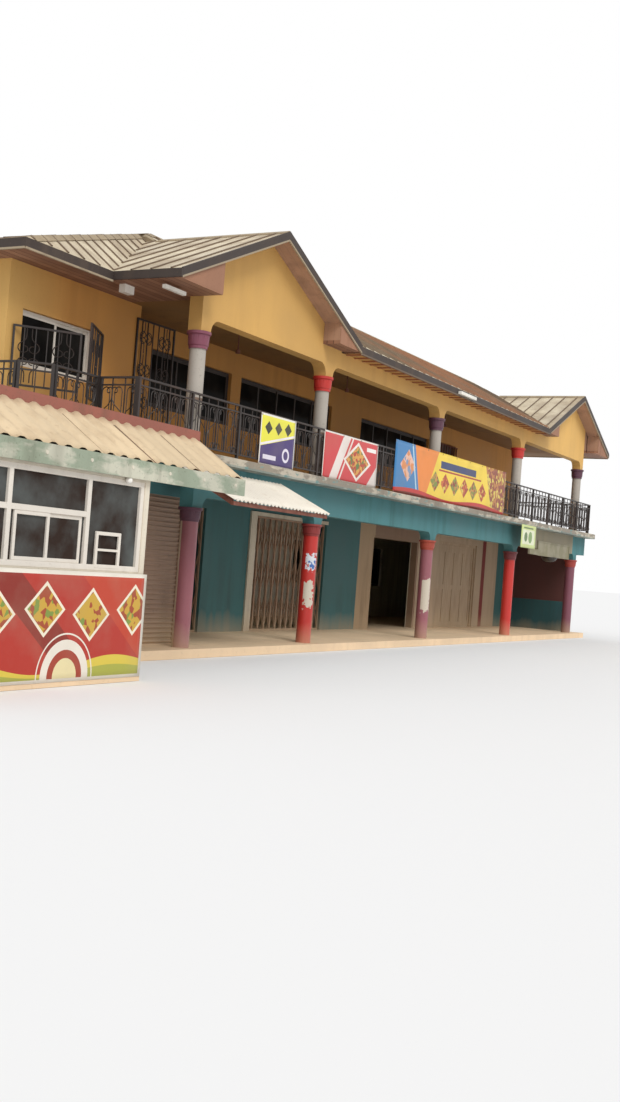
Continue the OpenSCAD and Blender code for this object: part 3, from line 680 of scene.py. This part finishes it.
BALCONY, RAIL_Y, RAIL_PITCH = 3.35, -3.228, 0.28
scrolls = bmesh.new()
rail_runs = [
    ((-11.84, RAIL_Y), (12.84, RAIL_Y)),
    ((-12.86, -2.468), (-11.88, -2.468)),
    ((-11.82, -3.2), (-11.82, -2.5)),
    ((-13.22, -2.1), (-13.22, -0.86)),
    ((12.82, -3.2), (12.82, -2.21))]
for (x0, y0), (x1, y1) in rail_runs:
    length = math.hypot(x1 - x0, y1 - y0)
    count = math.ceil(length / RAIL_PITCH)
    turn = math.atan2(y1 - y0, x1 - x0)
    for i in range(count):
        share = (i + 0.5) / count
        spot = Matrix.Translation((x0 + (x1 - x0) * share, y0 + (y1 - y0) * share, BALCONY))
        stamp(scrolls, rail_gaps[i % 2], spot @ Matrix.Rotation(turn, 4, "Z"))
finish_piece("balustrade_scrolls", scrolls, IRON)

# Veranda and rear windows: dark sliding sashes in pressed metal frames, shut,
# with tinted glass.


def block(mesh, x0, x1, y0, y1, z0, z1, edge=0.0):
    """A cut block between two corners, with its arrises taken off."""
    matrix = Matrix.Translation(((x0 + x1) / 2, (y0 + y1) / 2, (z0 + z1) / 2)) @ Matrix.Diagonal(
        (x1 - x0, y1 - y0, z1 - z0, 1))
    verts = bmesh.ops.create_cube(mesh, size=1, matrix=matrix)["verts"]
    if edge:
        edges = list({e for v in verts for e in v.link_edges})
        bmesh.ops.bevel(mesh, geom=edges, offset=edge, affect="EDGES", segments=1, profile=0.5, material=-1)


def glass(name, colour, rough=0.06, film_colour="#6d665c", thickest=0.12):
    """Dark tinted glass with a thin film of dust that dulls its reflections."""
    material, tree, shader = bare_material(name, specular=0.12)
    film = spread(tree, noise(tree, 1.6, 6), 0.4, 0.75, 0.0, thickest)
    tree.links.new(mix(tree, film, colour, film_colour), shader["Base Color"])
    tree.links.new(total(tree, film, rough), shader["Roughness"])
    shader["IOR"].default_value = 1.15
    return material


DARK_GLASS = glass("dark glass", "#171615")
DARK_FRAME = weathered("dark window frame", "#3b322d", "#7a6a58", 0.3, gloss=0.2)
WHITE_FRAME = weathered("white window frame", "#e4dcd0", "#8a7a68", 0.3, gloss=0.2)


def rim(mesh, x0, x1, z0, z1, wide, y, depth, edge=0.0):
    """Two uprights with two rails between them."""
    for a, b in ((x0, x0 + wide), (x1 - wide, x1)):
        block(mesh, a, b, y, y + depth, z0, z1, edge)
    for a, b in ((z0, z0 + wide), (z1 - wide, z1)):
        block(mesh, x0 + wide, x1 - wide, y, y + depth, a, b, edge)


def sliding_window(frames, panes, x0, x1, z0, z1, y, count):
    """A fixed surround with sashes on two tracks, each with its own glass."""
    wide, stile = 0.04, 0.045
    left, right, low, high = x0 + wide, x1 - wide, z0 + wide, z1 - wide
    rim(frames, x0, x1, z0, z1, wide, y, 0.06, 0.004)
    pitch = (right - left) / count
    for i in range(count):
        a, b = left + i * pitch, left + (i + 1) * pitch
        a, b = max(a - stile / 2, left), min(b + stile / 2, right)
        track = y + 0.008 + 0.022 * (i % 2)
        rim(frames, a, b, low, high, stile, track, 0.02)
        block(panes, a + stile, b - stile, track + 0.008, track + 0.013, low + stile, high - stile)


VERANDA_Y, LEFT_ROOM_Y, REAR_Y = -0.73, -1.43, 2.87
veranda_windows = [(-8.24, -5.45, 4.37, 5.44, 3), (-5.07, -0.96, 4.35, 5.44, 5), (0.65, 4.95, 4.36, 5.4, 5)]
frames, panes = bmesh.new(), bmesh.new()
for x0, x1, z0, z1, count in veranda_windows:
    sliding_window(frames, panes, x0, x1, z0, z1, VERANDA_Y, count)
finish_piece("veranda_window_frames", frames, DARK_FRAME, ["upper_windows"])
frames = bmesh.new()
sliding_window(frames, panes, -12.56, -10.84, 4.35, 5.22, LEFT_ROOM_Y, 2)
finish_piece("left_window_frame", frames, WHITE_FRAME)
finish_piece("veranda_window_panes", panes, DARK_GLASS)

frames, panes = bmesh.new(), bmesh.new()
for x in (-10.2, -5.4, -0.6, 4.2, 9.0):
    for sill, head in ((1.15, 2.35), (4.35, 5.45)):
        sliding_window(frames, panes, x, x + 1.2, sill, head, REAR_Y, 2)
finish_piece("rear_window_frames", frames, DARK_FRAME, ["rear_windows"])
finish_piece("rear_window_panes", panes, DARK_GLASS)

# The left window's open grille leaves and the veranda's gate: black iron
# frames with hearts of scrolls between their upright bars.

SCROLL = 0.34
pair = bmesh.new()
for side in (-1, 1):
    bent_rod(pair, (side * SCROLL * 0.12, 0, 0), ROD, [
        ("line", SCROLL * 0.35), ("turn", SCROLL * 0.3, side * -70),
        ("turn", SCROLL * 0.24, side * 200), ("turn", SCROLL * 0.14, side * 160)])
leaf_scroll = kept_mesh("scroll_pair", pair)
leaves = bmesh.new()
grille_leaves = [
    ((-12.78, -1.519, 4.02), -38, 1.05, 0.92, 1), ((-10.62, -1.489, 4.02), 208, 1.05, 1.18, 2),
    ((-9.72, -1.521, 3.37), -2, 1.08, 2.31, 4)]
for foot, turn, width, height, tiers in grille_leaves:
    hung = Matrix.Translation(foot) @ Matrix.Rotation(math.radians(turn), 4, "Z")
    rise = (height - 0.08) / tiers
    upside_down = Matrix.Translation((0, 0, rise - 0.02)) @ Matrix.Rotation(math.pi, 4, "Y")
    for tier in range(tiers):
        for share in (0.25, 0.75):
            at = hung @ Matrix.Translation((width * share, 0, 0.06 + tier * rise))
            stamp(leaves, leaf_scroll, at)
            stamp(leaves, leaf_scroll, at @ upside_down)
finish_piece("grille_scrolls", leaves, IRON)

# Veranda doors: dark varnished leaves, and before the right one a security
# grille of red-brown square bars bolted to the render.


def door_paint(tree):
    return patchy(tree, "#3a241a", "#5a3826", 0.35, 0.65, 3.0, 6, (14, 14, 0.6))


dress(weathered("dark varnished door", door_paint, "#1f1410", 0.3, gloss=0.2), "veranda_doors")
GUARD_Y = -0.83
guard = bmesh.new()
for i in range(7):
    x = 5.83 + 0.19 * i
    bar(guard, (x, GUARD_Y, 3.42), (x, GUARD_Y, 5.4), 0.022, 0.022, (0, 1, 0))
for z in (3.44, 4.1, 4.75, 5.38):
    bar(guard, (5.76, GUARD_Y, z), (7.04, GUARD_Y, z), 0.012, 0.035)
guard_coat = weathered("red-brown bars", "#6b3a2b", "#38201a", 0.5)
finish_piece("door_guard", guard, guard_coat)

# Shop fronts: a roller shutter of rounded slats, two collapsible lattice gates
# in dull brown, a cream post and head, and the folding doors of the last shop.

dress(weathered("dull shutter paint", "#9a7f6b", "#5a483c", 0.5, 0.5, grain=12, gloss=0.1), "roller_shutter")


def gate_paint(tree):
    """Brown lattice; the post and head of the second gate are cream."""
    return mix(tree, below(tree, "Y", -0.801), "#a0826c", "#cdc3b0")


dress(weathered("gate paint", gate_paint, "#5a4233", 0.55, 0.4), "folding_gates")


def shop_door_paint(tree):
    """Faded cream; the kiosk's leaf, far to the left, is paler."""
    faded = patchy(tree, "#ab947b", "#bba68d", 0.3, 0.7, 2.0, 6, (5, 5, 0.8))
    return mix(tree, below(tree, "X", -13), faded, "#d8d2c6")


dress(weathered("faded door paint", shop_door_paint, "#6e5a48", 0.4, 0.5), "shop_doors")

# Awning over the first gates: white corrugated sheets on red-brown timbers. The
# ribs run down the slope, so that the front edge ripples.


def corrugated(name, node, inset, pitch, swell, flat_top, material):
    """A corrugated sheet that rises from front to back through a node's box."""
    low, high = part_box(node)
    width, per_wave = high.x - low.x, 8
    sheet = bmesh.new()
    bmesh.ops.create_grid(sheet, x_segments=round(width / pitch * per_wave), y_segments=6, size=0.5)
    for v in sheet.verts:
        x, share = (v.co.x + 0.5) * width, v.co.y + 0.5
        wave = math.sin(2 * math.pi * x / pitch)
        wave = max(-1, min(1, wave * (1.7 if flat_top else 1)))
        z = low.z + inset + (high.z - low.z - 2 * inset) * share
        v.co = (low.x + x, low.y + (high.y - low.y) * share, z + swell * wave)
    bmesh.ops.recalc_face_normals(sheet, faces=sheet.faces)
    if sum(f.normal.z for f in sheet.faces) < 0:
        bmesh.ops.reverse_faces(sheet, faces=sheet.faces)
    bmesh.ops.solidify(sheet, geom=sheet.faces[:], thickness=0.003)
    finish_piece(name, sheet, material, [node], smooth=True)


awning_coat = weathered("chalky white sheet", "#efe8da", "#b39d83", 0.4, grain=14, relief=0.002,
                        metallic=0.1)
corrugated("awning_cover", "awning_sheet", 0.018, 0.12, 0.017, False, awning_coat)


def timber_paint(tree):
    return patchy(tree, "#744437", "#8b5747", 0.4, 0.6, 4, 6, (1, 1, 4))


dress(weathered("red-brown timber", timber_paint, "#432720", 0.5), "awning_frame")

# Printed banners hung against the balustrade: vinyl sheets with flat rings of
# cord along their top and bottom edges. The prints are plain bands, boxes, discs
# and diamonds, some of them mottled.


def printed(name, ground, layers):
    """Printed vinyl: each layer is (shape, its sizes in metres, colour)."""
    material, tree, shader = bare_material(name, specular=0.35)
    at = add(tree, "UVMap", {}, uv_map="UVMap")
    u, v = (add(tree, "SeparateXYZ", {0: at}, out=axis) for axis in "XY")

    def between(value, low, high):
        return both(tree, more(tree, value, low), less(tree, value, high))

    def far(x, y):
        dx, dy = calc(tree, "SUBTRACT", u, x), calc(tree, "SUBTRACT", v, y)
        return calc(tree, "SQRT", total(tree, both(tree, dx, dx), both(tree, dy, dy)))

    def slanted(along_u, along_v):
        return total(tree, both(tree, u, along_u), both(tree, v, along_v))

    def off(value, middle, half):
        return calc(tree, "DIVIDE", away(tree, value, middle), half)

    def mask(shape, sizes):
        if shape == "diamond":
            x, y, half_wide, half_high = sizes
            return less(tree, total(tree, off(u, x, half_wide), off(v, y, half_high)), 1)
        if shape == "band":
            return between(slanted(*sizes[:2]), *sizes[2:])
        if shape == "box":
            return both(tree, between(u, *sizes[:2]), between(v, *sizes[2:]))
        if shape == "disc":
            return less(tree, far(*sizes[:2]), sizes[2])
        if shape == "ring":
            return between(far(*sizes[:2]), sizes[2] - sizes[3], sizes[2])
        if shape == "slant":
            return more(tree, slanted(*sizes[:2]), sizes[2])
        height, swing, turns = sizes
        wave = both(tree, calc(tree, "SINE", both(tree, u, turns)), swing)
        return less(tree, v, total(tree, wave, height))

    def ink(colour):
        if isinstance(colour, str):
            return colour
        one, two, three, scale = colour
        cells = add(tree, "TexVoronoi", {"Vector": at, "Scale": scale}, out="Color")
        shade = add(tree, "SeparateColor", {0: cells}, out=0)
        under = mix(tree, more(tree, shade, 0.45), one, two)
        return mix(tree, more(tree, shade, 0.8), under, three)

    paint = ground
    for shape, sizes, colour in layers:
        paint = mix(tree, mask(shape, sizes), paint, ink(colour))
    dirt = spread(tree, noise(tree, 1.8, 7), 0.45, 0.75, 0.0, 0.22)
    tree.links.new(mix(tree, dirt, paint, "#a79a86"), shader["Base Color"])
    tree.links.new(spread(tree, dirt, 0.0, 0.22, 0.38, 0.6), shader["Roughness"])
    bump(tree, shader, noise(tree, 3.5, 3, where=at), 0.4, 0.012)
    return material


cord_coat = weathered("grey tie cord", "#8d8478", "#5a5148", 0.3)


def hung_sheet(name, node, material, sag=0.003, tied=True):
    """A stretched vinyl sheet in the space of its plate. A tied one has cord rings."""
    low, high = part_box(node)
    width, length = high.x - low.x, high.z - low.z
    middle = (low.y + high.y) / 2
    sheet = bmesh.new()
    bmesh.ops.create_grid(sheet, x_segments=max(12, round(width / 0.12)), y_segments=12, size=0.5,
                          matrix=Matrix.Rotation(math.pi / 2, 4, "X"))
    layer = sheet.loops.layers.uv.new("UVMap")
    for face in sheet.faces:
        for loop in face.loops:
            loop[layer].uv = ((loop.vert.co.x + 0.5) * width, (loop.vert.co.z + 0.5) * length)
    for v in sheet.verts:
        x, z = (v.co.x + 0.5) * width, (v.co.z + 0.5) * length
        free = math.sin(math.pi * x / width) * math.sin(math.pi * z / length)
        ripple = 0.5 * math.sin(7.3 * x + 2 * z) + 0.5 * math.sin(3.1 * x - 4.4 * z)
        v.co = (low.x + x, middle + sag * ripple * (0.4 + 0.6 * free), low.z + z)
    bmesh.ops.solidify(sheet, geom=sheet.faces[:], thickness=0.0012)
    piece = finish_piece(name, sheet, material, [node], smooth=True)
    if tied:
        ties = bmesh.new()
        corner, reach = 0.03, 0.018
        count = max(2, round(width / 0.9) + 1)
        for i in range(count):
            for z in (low.z + corner, high.z - corner):
                x = low.x + corner + (width - 2 * corner) * i / (count - 1)
                ring = bmesh.ops.create_circle(ties, cap_ends=False, segments=6, radius=0.004,
                                               matrix=Matrix.Translation((x + reach, middle, z)))["verts"]
                edges = list({e for v in ring for e in v.link_edges})
                bmesh.ops.spin(ties, geom=ring + edges, cent=(x, middle, z), axis=(0, 1, 0),
                               angle=2 * math.pi, steps=10, use_merge=True)
        finish_piece(name + "_ties", ties, cord_coat, smooth=True)


def margins(colour, edge, right, top):
    """The unprinted edge on all four sides of a banner."""
    far = 9
    sides = ((0, edge, 0, far), (right, far, 0, far), (0, far, 0, edge), (0, far, top, far))
    return [("box", side, colour) for side in sides]


yellow_print = printed("yellow and purple print", "#e9e34a", [
    ("slant", (0.22, -1.0, -0.33), "#4a3a73"),
    *[("diamond", (0.28 + 0.35 * i, 0.68 + 0.02 * i, 0.13, 0.12), "#3a3b2a") for i in range(3)],
    ("band", (0.22, -1.0, -0.38, -0.34), "#efe9ee"), ("disc", (0.95, 0.25, 0.13), "#e8e2ee"),
    ("disc", (0.95, 0.25, 0.08), "#4a3a73"), ("box", (0.14, 0.6, 0.12, 0.2), "#e8e2ee"),
    *margins("#ece8de", 0.035, 1.225, 0.885)])
hung_sheet("yellow_print_sheet", "yellow_banner", yellow_print)

red_print = printed("red and white print", "#cf4447", [
    ("slant", (1.0, -1.0, 1.95), "#ded3cb"), ("band", (1.0, -0.6, 0.28, 0.6), "#e9ded6"),
    ("band", (1.0, -0.6, 0.68, 0.74), "#e9ded6"),
    ("diamond", (1.5, 0.46, 0.62, 0.4), "#efe6dc"),
    ("diamond", (1.5, 0.46, 0.52, 0.33), ("#d9a04b", "#b5432f", "#5e7a3c", 16.0)),
    ("box", (1.9, 2.34, 0.72, 0.8), "#f1ece6"), *margins("#e9e4da", 0.03, 2.4, 0.9)])
hung_sheet("red_print_sheet", "red_banner", red_print)

mottled = [("#7c8a3c", "#c58a45", "#8c3a26", 15.0), ("#a2402a", "#c9692f", "#d8c35a", 15.0)]
wide_print = printed("wide yellow print", "#efcf45", [
    ("slant", (1.0, 0.5, 6.15), ("#8c4330", "#b87a3e", "#d8c35a", 12.0)),
    ("slant", (-1.0, 0.6, -1.75), "#e8893a"), ("slant", (-1.0, -0.35, -1.45), "#3f7fb5"),
    ("diamond", (0.72, 0.66, 0.42, 0.36), ("#d98a56", "#e7b7a0", "#7d93b5", 9.0)),
    ("band", (1.0, 0.35, 1.28, 1.34), "#bcd4df"),
    ("wave", (0.13, 0.05, 1.5), "#c2332c"), ("wave", (0.05, 0.04, 1.5), "#7d2f22"),
    *[("diamond", (2.3 + 0.62 * i, 0.46, 0.29, 0.24), mottled[i % 2]) for i in range(6)],
    ("box", (2.6, 4.9, 0.8, 0.97), "#2f3d6b"), ("box", (2.5, 5.3, 0.73, 0.77), "#a8332d")])
hung_sheet("wide_print_sheet", "wide_banner", wide_print)

poster_print = printed("pale green poster", "#c9d68c", [
    ("box", (0.12, 1.13, 0.1, 0.5), "#dfe3c4"), ("disc", (0.4, 0.3, 0.13), "#5f7a4a"),
    ("disc", (0.78, 0.3, 0.16), "#7d9a5c"), ("box", (0.2, 1.0, 0.53, 0.57), "#5f7a4a")])
hung_sheet("poster_sheet", "green_poster", poster_print, 0.002, tied=False)

# The old sign on the bare right bay: a tin panel in a frame, its face faded to
# blank, with a small box beside it and a dark bowl lamp below.

SIGN_LEFT, SIGN_RIGHT, SIGN_LOW, SIGN_TOP = 8.0, 11.12, 2.45, 2.88
BEAM_FACE, EDGE, EDGE_DEEP = -3.134, 0.04, 0.041
panel = bmesh.new()
block(panel, SIGN_LEFT + EDGE / 2, SIGN_RIGHT - EDGE / 2, BEAM_FACE - 0.026, BEAM_FACE,
      SIGN_LOW + EDGE / 2, SIGN_TOP - EDGE / 2, 0.004)
for z in (SIGN_LOW, SIGN_TOP - EDGE):
    block(panel, SIGN_LEFT, SIGN_RIGHT, BEAM_FACE - EDGE_DEEP, BEAM_FACE, z, z + EDGE, 0.004)
for x in (SIGN_LEFT, SIGN_RIGHT - EDGE):
    block(panel, x, x + EDGE, BEAM_FACE - EDGE_DEEP, BEAM_FACE, SIGN_LOW + EDGE, SIGN_TOP - EDGE, 0.004)
block(panel, 7.2, 7.95, -3.2, BEAM_FACE, 2.46, 2.62, 0.006)


def panel_paint(tree):
    return patchy(tree, "#8a8469", "#99927c", 0.42, 0.58, 2.6, 7)


finish_piece("blank_sign", panel, weathered("faded tin", panel_paint, "#6b6352", 0.45))
LAMP_X, LAMP_Y, LAMP_RIM = 9.5, -3.05, 2.44
bowl = bmesh.new()
profile = [(0.0, -0.14), (0.1, -0.13), (0.19, -0.09), (0.235, -0.02), (0.24, 0.01), (0.2, 0.015), (0.0, 0.02)]
verts = [bowl.verts.new((LAMP_X + r, LAMP_Y, LAMP_RIM + z)) for r, z in profile]
edges = [bowl.edges.new(pair) for pair in zip(verts, verts[1:])]
bmesh.ops.spin(bowl, geom=verts + edges, cent=(LAMP_X, LAMP_Y, LAMP_RIM), axis=(0, 0, 1),
               angle=2 * math.pi, steps=24, use_merge=True)
bmesh.ops.remove_doubles(bowl, verts=bowl.verts, dist=0.0005)
block(bowl, LAMP_X - 0.03, LAMP_X + 0.03, LAMP_Y - 0.03, LAMP_Y + 0.03, LAMP_RIM, LAMP_RIM + 0.22)
enamel = weathered("dark enamel", "#3b3631", "#6b5c4a", 0.4, gloss=0.3)
finish_piece("bowl_lamp", bowl, enamel, smooth=True)

# Light fittings: white plastic boxes and tubes under the eaves, and brown
# drops with a holder and a bulb on the veranda ceiling.


def fitting_paint(tree):
    return mix(tree, above(tree, "Y", -2.1), "#ece8de", "#6d3f30")


dress(weathered("fitting plastic", fitting_paint, "#9b8f7e", 0.4, gloss=0.2), "light_fittings")

# Kiosk: rendered block walls in cream, white metal windows over the counter,
# and a printed banner across its front.

dress(weathered("cream kiosk render", "#ded4c1", "#8c7a64", 0.45, 0.5), "kiosk_walls")
dress(weathered("bare deck boards", "#8b745e", "#4d3d31", 0.5), "kiosk_roof_deck")

KIOSK_GLASS = glass("kiosk glass", "#382d28", 0.03, "#7d8887", 0.5)
KIOSK_Y, KIOSK_LEFT, KIOSK_RIGHT = -4.99, -17.8, -13.9
POST, STILE = 0.07, 0.045
frames, panes = bmesh.new(), bmesh.new()
for x in (KIOSK_LEFT, -16.435, -15.035, KIOSK_RIGHT - POST):
    block(frames, x, x + POST, KIOSK_Y, KIOSK_Y + 0.06, 1.4, 2.56, 0.005)
for z in (1.4, 2.49):
    block(frames, KIOSK_LEFT + POST, KIOSK_RIGHT - POST, KIOSK_Y + 0.001, KIOSK_Y + 0.059,
          z, z + POST, 0.005)
block(frames, KIOSK_LEFT + POST, -15.035, KIOSK_Y + 0.002, KIOSK_Y + 0.058, 2.035, 2.105, 0.005)
sashes = [
    (-16.3, -15.69, 1.47, 2.035, 0.008), (-15.72, -15.08, 1.47, 2.035, 0.028),
    (-14.82, -14.32, 1.43, 1.88, -0.004)]
for x0, x1, z0, z1, track in sashes:
    rim(frames, x0, x1, z0, z1, STILE, KIOSK_Y + track, 0.03, 0.004)
block(frames, -14.78, -14.36, KIOSK_Y - 0.002, KIOSK_Y + 0.02, 1.64, 1.67)
finish_piece("kiosk_window_frames", frames, WHITE_FRAME, ["kiosk_windows"])
kiosk_panes = [
    (KIOSK_LEFT + 0.06, -16.43, 1.46, 2.04), (KIOSK_LEFT + 0.06, -15.03, 2.1, 2.5),
    (-16.37, -15.03, 1.46, 2.04), (-14.97, KIOSK_RIGHT - 0.06, 1.46, 2.5)]
for x0, x1, z0, z1 in kiosk_panes:
    block(panes, x0, x1, KIOSK_Y + 0.04, KIOSK_Y + 0.045, z0, z1)
finish_piece("kiosk_window_panes", panes, KIOSK_GLASS)

spots = [(0.5 + 0.86 * i, 0.86 - 0.06 * (i % 2)) for i in range(5)]
kiosk_print = printed("kiosk print", "#b23325", [
    ("band", (1.0, 1.2, 2.7, 3.3), "#8a2a1d"), ("slant", (1.0, 1.2, 4.4), "#be4128"),
    ("wave", (0.2, 0.1, 2.2), "#d8c24a"), ("wave", (0.12, 0.06, 2.2), "#a9ab48"),
    ("disc", (2.65, 0.06, 0.44), "#e9e2d4"), ("ring", (2.65, 0.06, 0.52, 0.02), "#e9e2d4"),
    ("disc", (2.65, 0.06, 0.32), "#a3402c"), ("disc", (2.65, 0.06, 0.22), "#e6d9a8"),
    *[("diamond", (*spot, 0.36, 0.33), "#efe6cf") for spot in spots],
    *[("diamond", (*spot, 0.31, 0.28), ("#c9a23d", "#a34a2a", "#7f9440", 14.0)) for spot in spots],
    ("box", (0, 9, 1.27, 9), "#e9e2d4"), ("box", (4.12, 9, 0, 9), "#e9e2d4"),
    ("box", (0, 9, 0, 0.04), "#e9e2d4")])
hung_sheet("kiosk_print_sheet", "kiosk_banner", kiosk_print, 0.003, tied=False)

# Canopy: beige corrugated sheets with coarse ribs, over bare rafters, with a
# flaking green-white board below its edge and a salmon board along its top.


def board_coat(tree):
    """Pale green-white in front, salmon on top, and bare wood inside."""
    front = patchy(tree, "#9aa48f", "#c9c7b4", 0.47, 0.58, 3.0, 8, (0.6, 1, 1.6))
    wood = mix(tree, above(tree, "Y", -4.26), "#7a5f4a", "#9c6052")
    return mix(tree, above(tree, "Y", -5.061), front, wood)


dress(weathered("flaking board paint", board_coat, "#54503f", 0.7, relief=0.008), "canopy_boards")
canopy_coat = weathered("beige sheet coat", "#dac4a2", "#9c7f61", 0.5, grain=10, relief=0.002,
                        metallic=0.15)
corrugated("canopy_cover", "kiosk_canopy", 0.014, 0.27, 0.016, True, canopy_coat)
sockets = bmesh.new()
for i in range(8):
    spot = Matrix.Translation((-17.6 + 0.82 * i, -5.083, 2.72))
    bmesh.ops.create_cone(sockets, cap_ends=True, segments=16, radius1=0.03, radius2=0.022, depth=0.03,
                          matrix=spot @ Matrix.Rotation(math.pi / 2, 4, "X"))
socket_coat = weathered("pale socket", "#d9d2c0", "#7d7260", 0.4)
finish_piece("lamp_sockets", sockets, socket_coat)
BULB = Matrix.Translation((-14.32, -5.044, 2.555))
holder, stem = (BULB @ Matrix.Translation((0, 0, rise)) for rise in (0.065, 0.145))
bulb = bmesh.new()
bmesh.ops.create_uvsphere(bulb, u_segments=20, v_segments=12, radius=0.045, matrix=BULB)
bmesh.ops.create_cone(bulb, cap_ends=True, segments=20, radius1=0.022, radius2=0.026, depth=0.09,
                      matrix=holder)
bmesh.ops.create_cone(bulb, cap_ends=True, segments=12, radius1=0.007, radius2=0.007, depth=0.12,
                      matrix=stem)
bulb_coat = weathered("white glass bulb", "#f2eee6", "#b9ad9c", 0.2, gloss=0.4)
finish_piece("white_bulb", bulb, bulb_coat, smooth=True)

# The studio: a pale floor, a white surround and soft light from the front left
# and above. The camera is at eye height, tilted as the photograph is.

scene = bpy.context.scene
FLOOR_SIZE, FLOOR_Z = 400, -0.004
floor = bmesh.new()
bmesh.ops.create_grid(floor, x_segments=1, y_segments=1, size=FLOOR_SIZE,
                      matrix=Matrix.Translation((0, 0, FLOOR_Z)))
data = kept_mesh("studio_floor", floor)
floor_coat, tree, shader = bare_material("pale studio floor", specular=0.0)
shader["Roughness"].default_value = 1.0
shader["Base Color"].default_value = (0.86, 0.86, 0.86, 1)
data.materials.append(floor_coat)
studio_floor = placed("studio_floor", data)

world = bpy.data.worlds.new("studio")
scene.world = world
world.use_nodes = True
tree = world.node_tree
background = tree.nodes["Background"]
background.inputs["Color"].default_value = (1, 1, 1, 1)
path = tree.nodes.new("ShaderNodeLightPath")
seen = calc(tree, "MAXIMUM", path.outputs["Is Camera Ray"], path.outputs["Is Glossy Ray"])
seen = calc(tree, "MAXIMUM", seen, path.outputs["Is Transmission Ray"])
tree.links.new(spread(tree, seen, 0, 1, 0.75, 1.0), background.inputs["Strength"])

lamp = bpy.data.lights.new("key", "SUN")
lamp.energy = 1.5
lamp.angle = math.radians(25)
key = placed("key", lamp)
key.rotation_euler = (math.radians(48), 0, math.radians(-35))

EYE, LENS = (-27.035, -14.541, 1.67), 40.81
yaw, pitch, roll = math.radians(28.29), 0.011, 0.077
ahead = Vector((math.cos(yaw) * math.cos(pitch), math.sin(yaw) * math.cos(pitch), math.sin(pitch)))
level = Vector((math.sin(yaw), -math.cos(yaw), 0))
upright = level.cross(ahead)
right = math.cos(roll) * level + math.sin(roll) * upright
top = math.cos(roll) * upright - math.sin(roll) * level
camera = placed("camera", bpy.data.cameras.new("camera"))
camera.data.lens = LENS
camera.matrix_world = Matrix.Translation(EYE) @ Matrix((right, top, -ahead)).transposed().to_4x4()
scene.camera = camera
scene.view_settings.view_transform = "Standard"
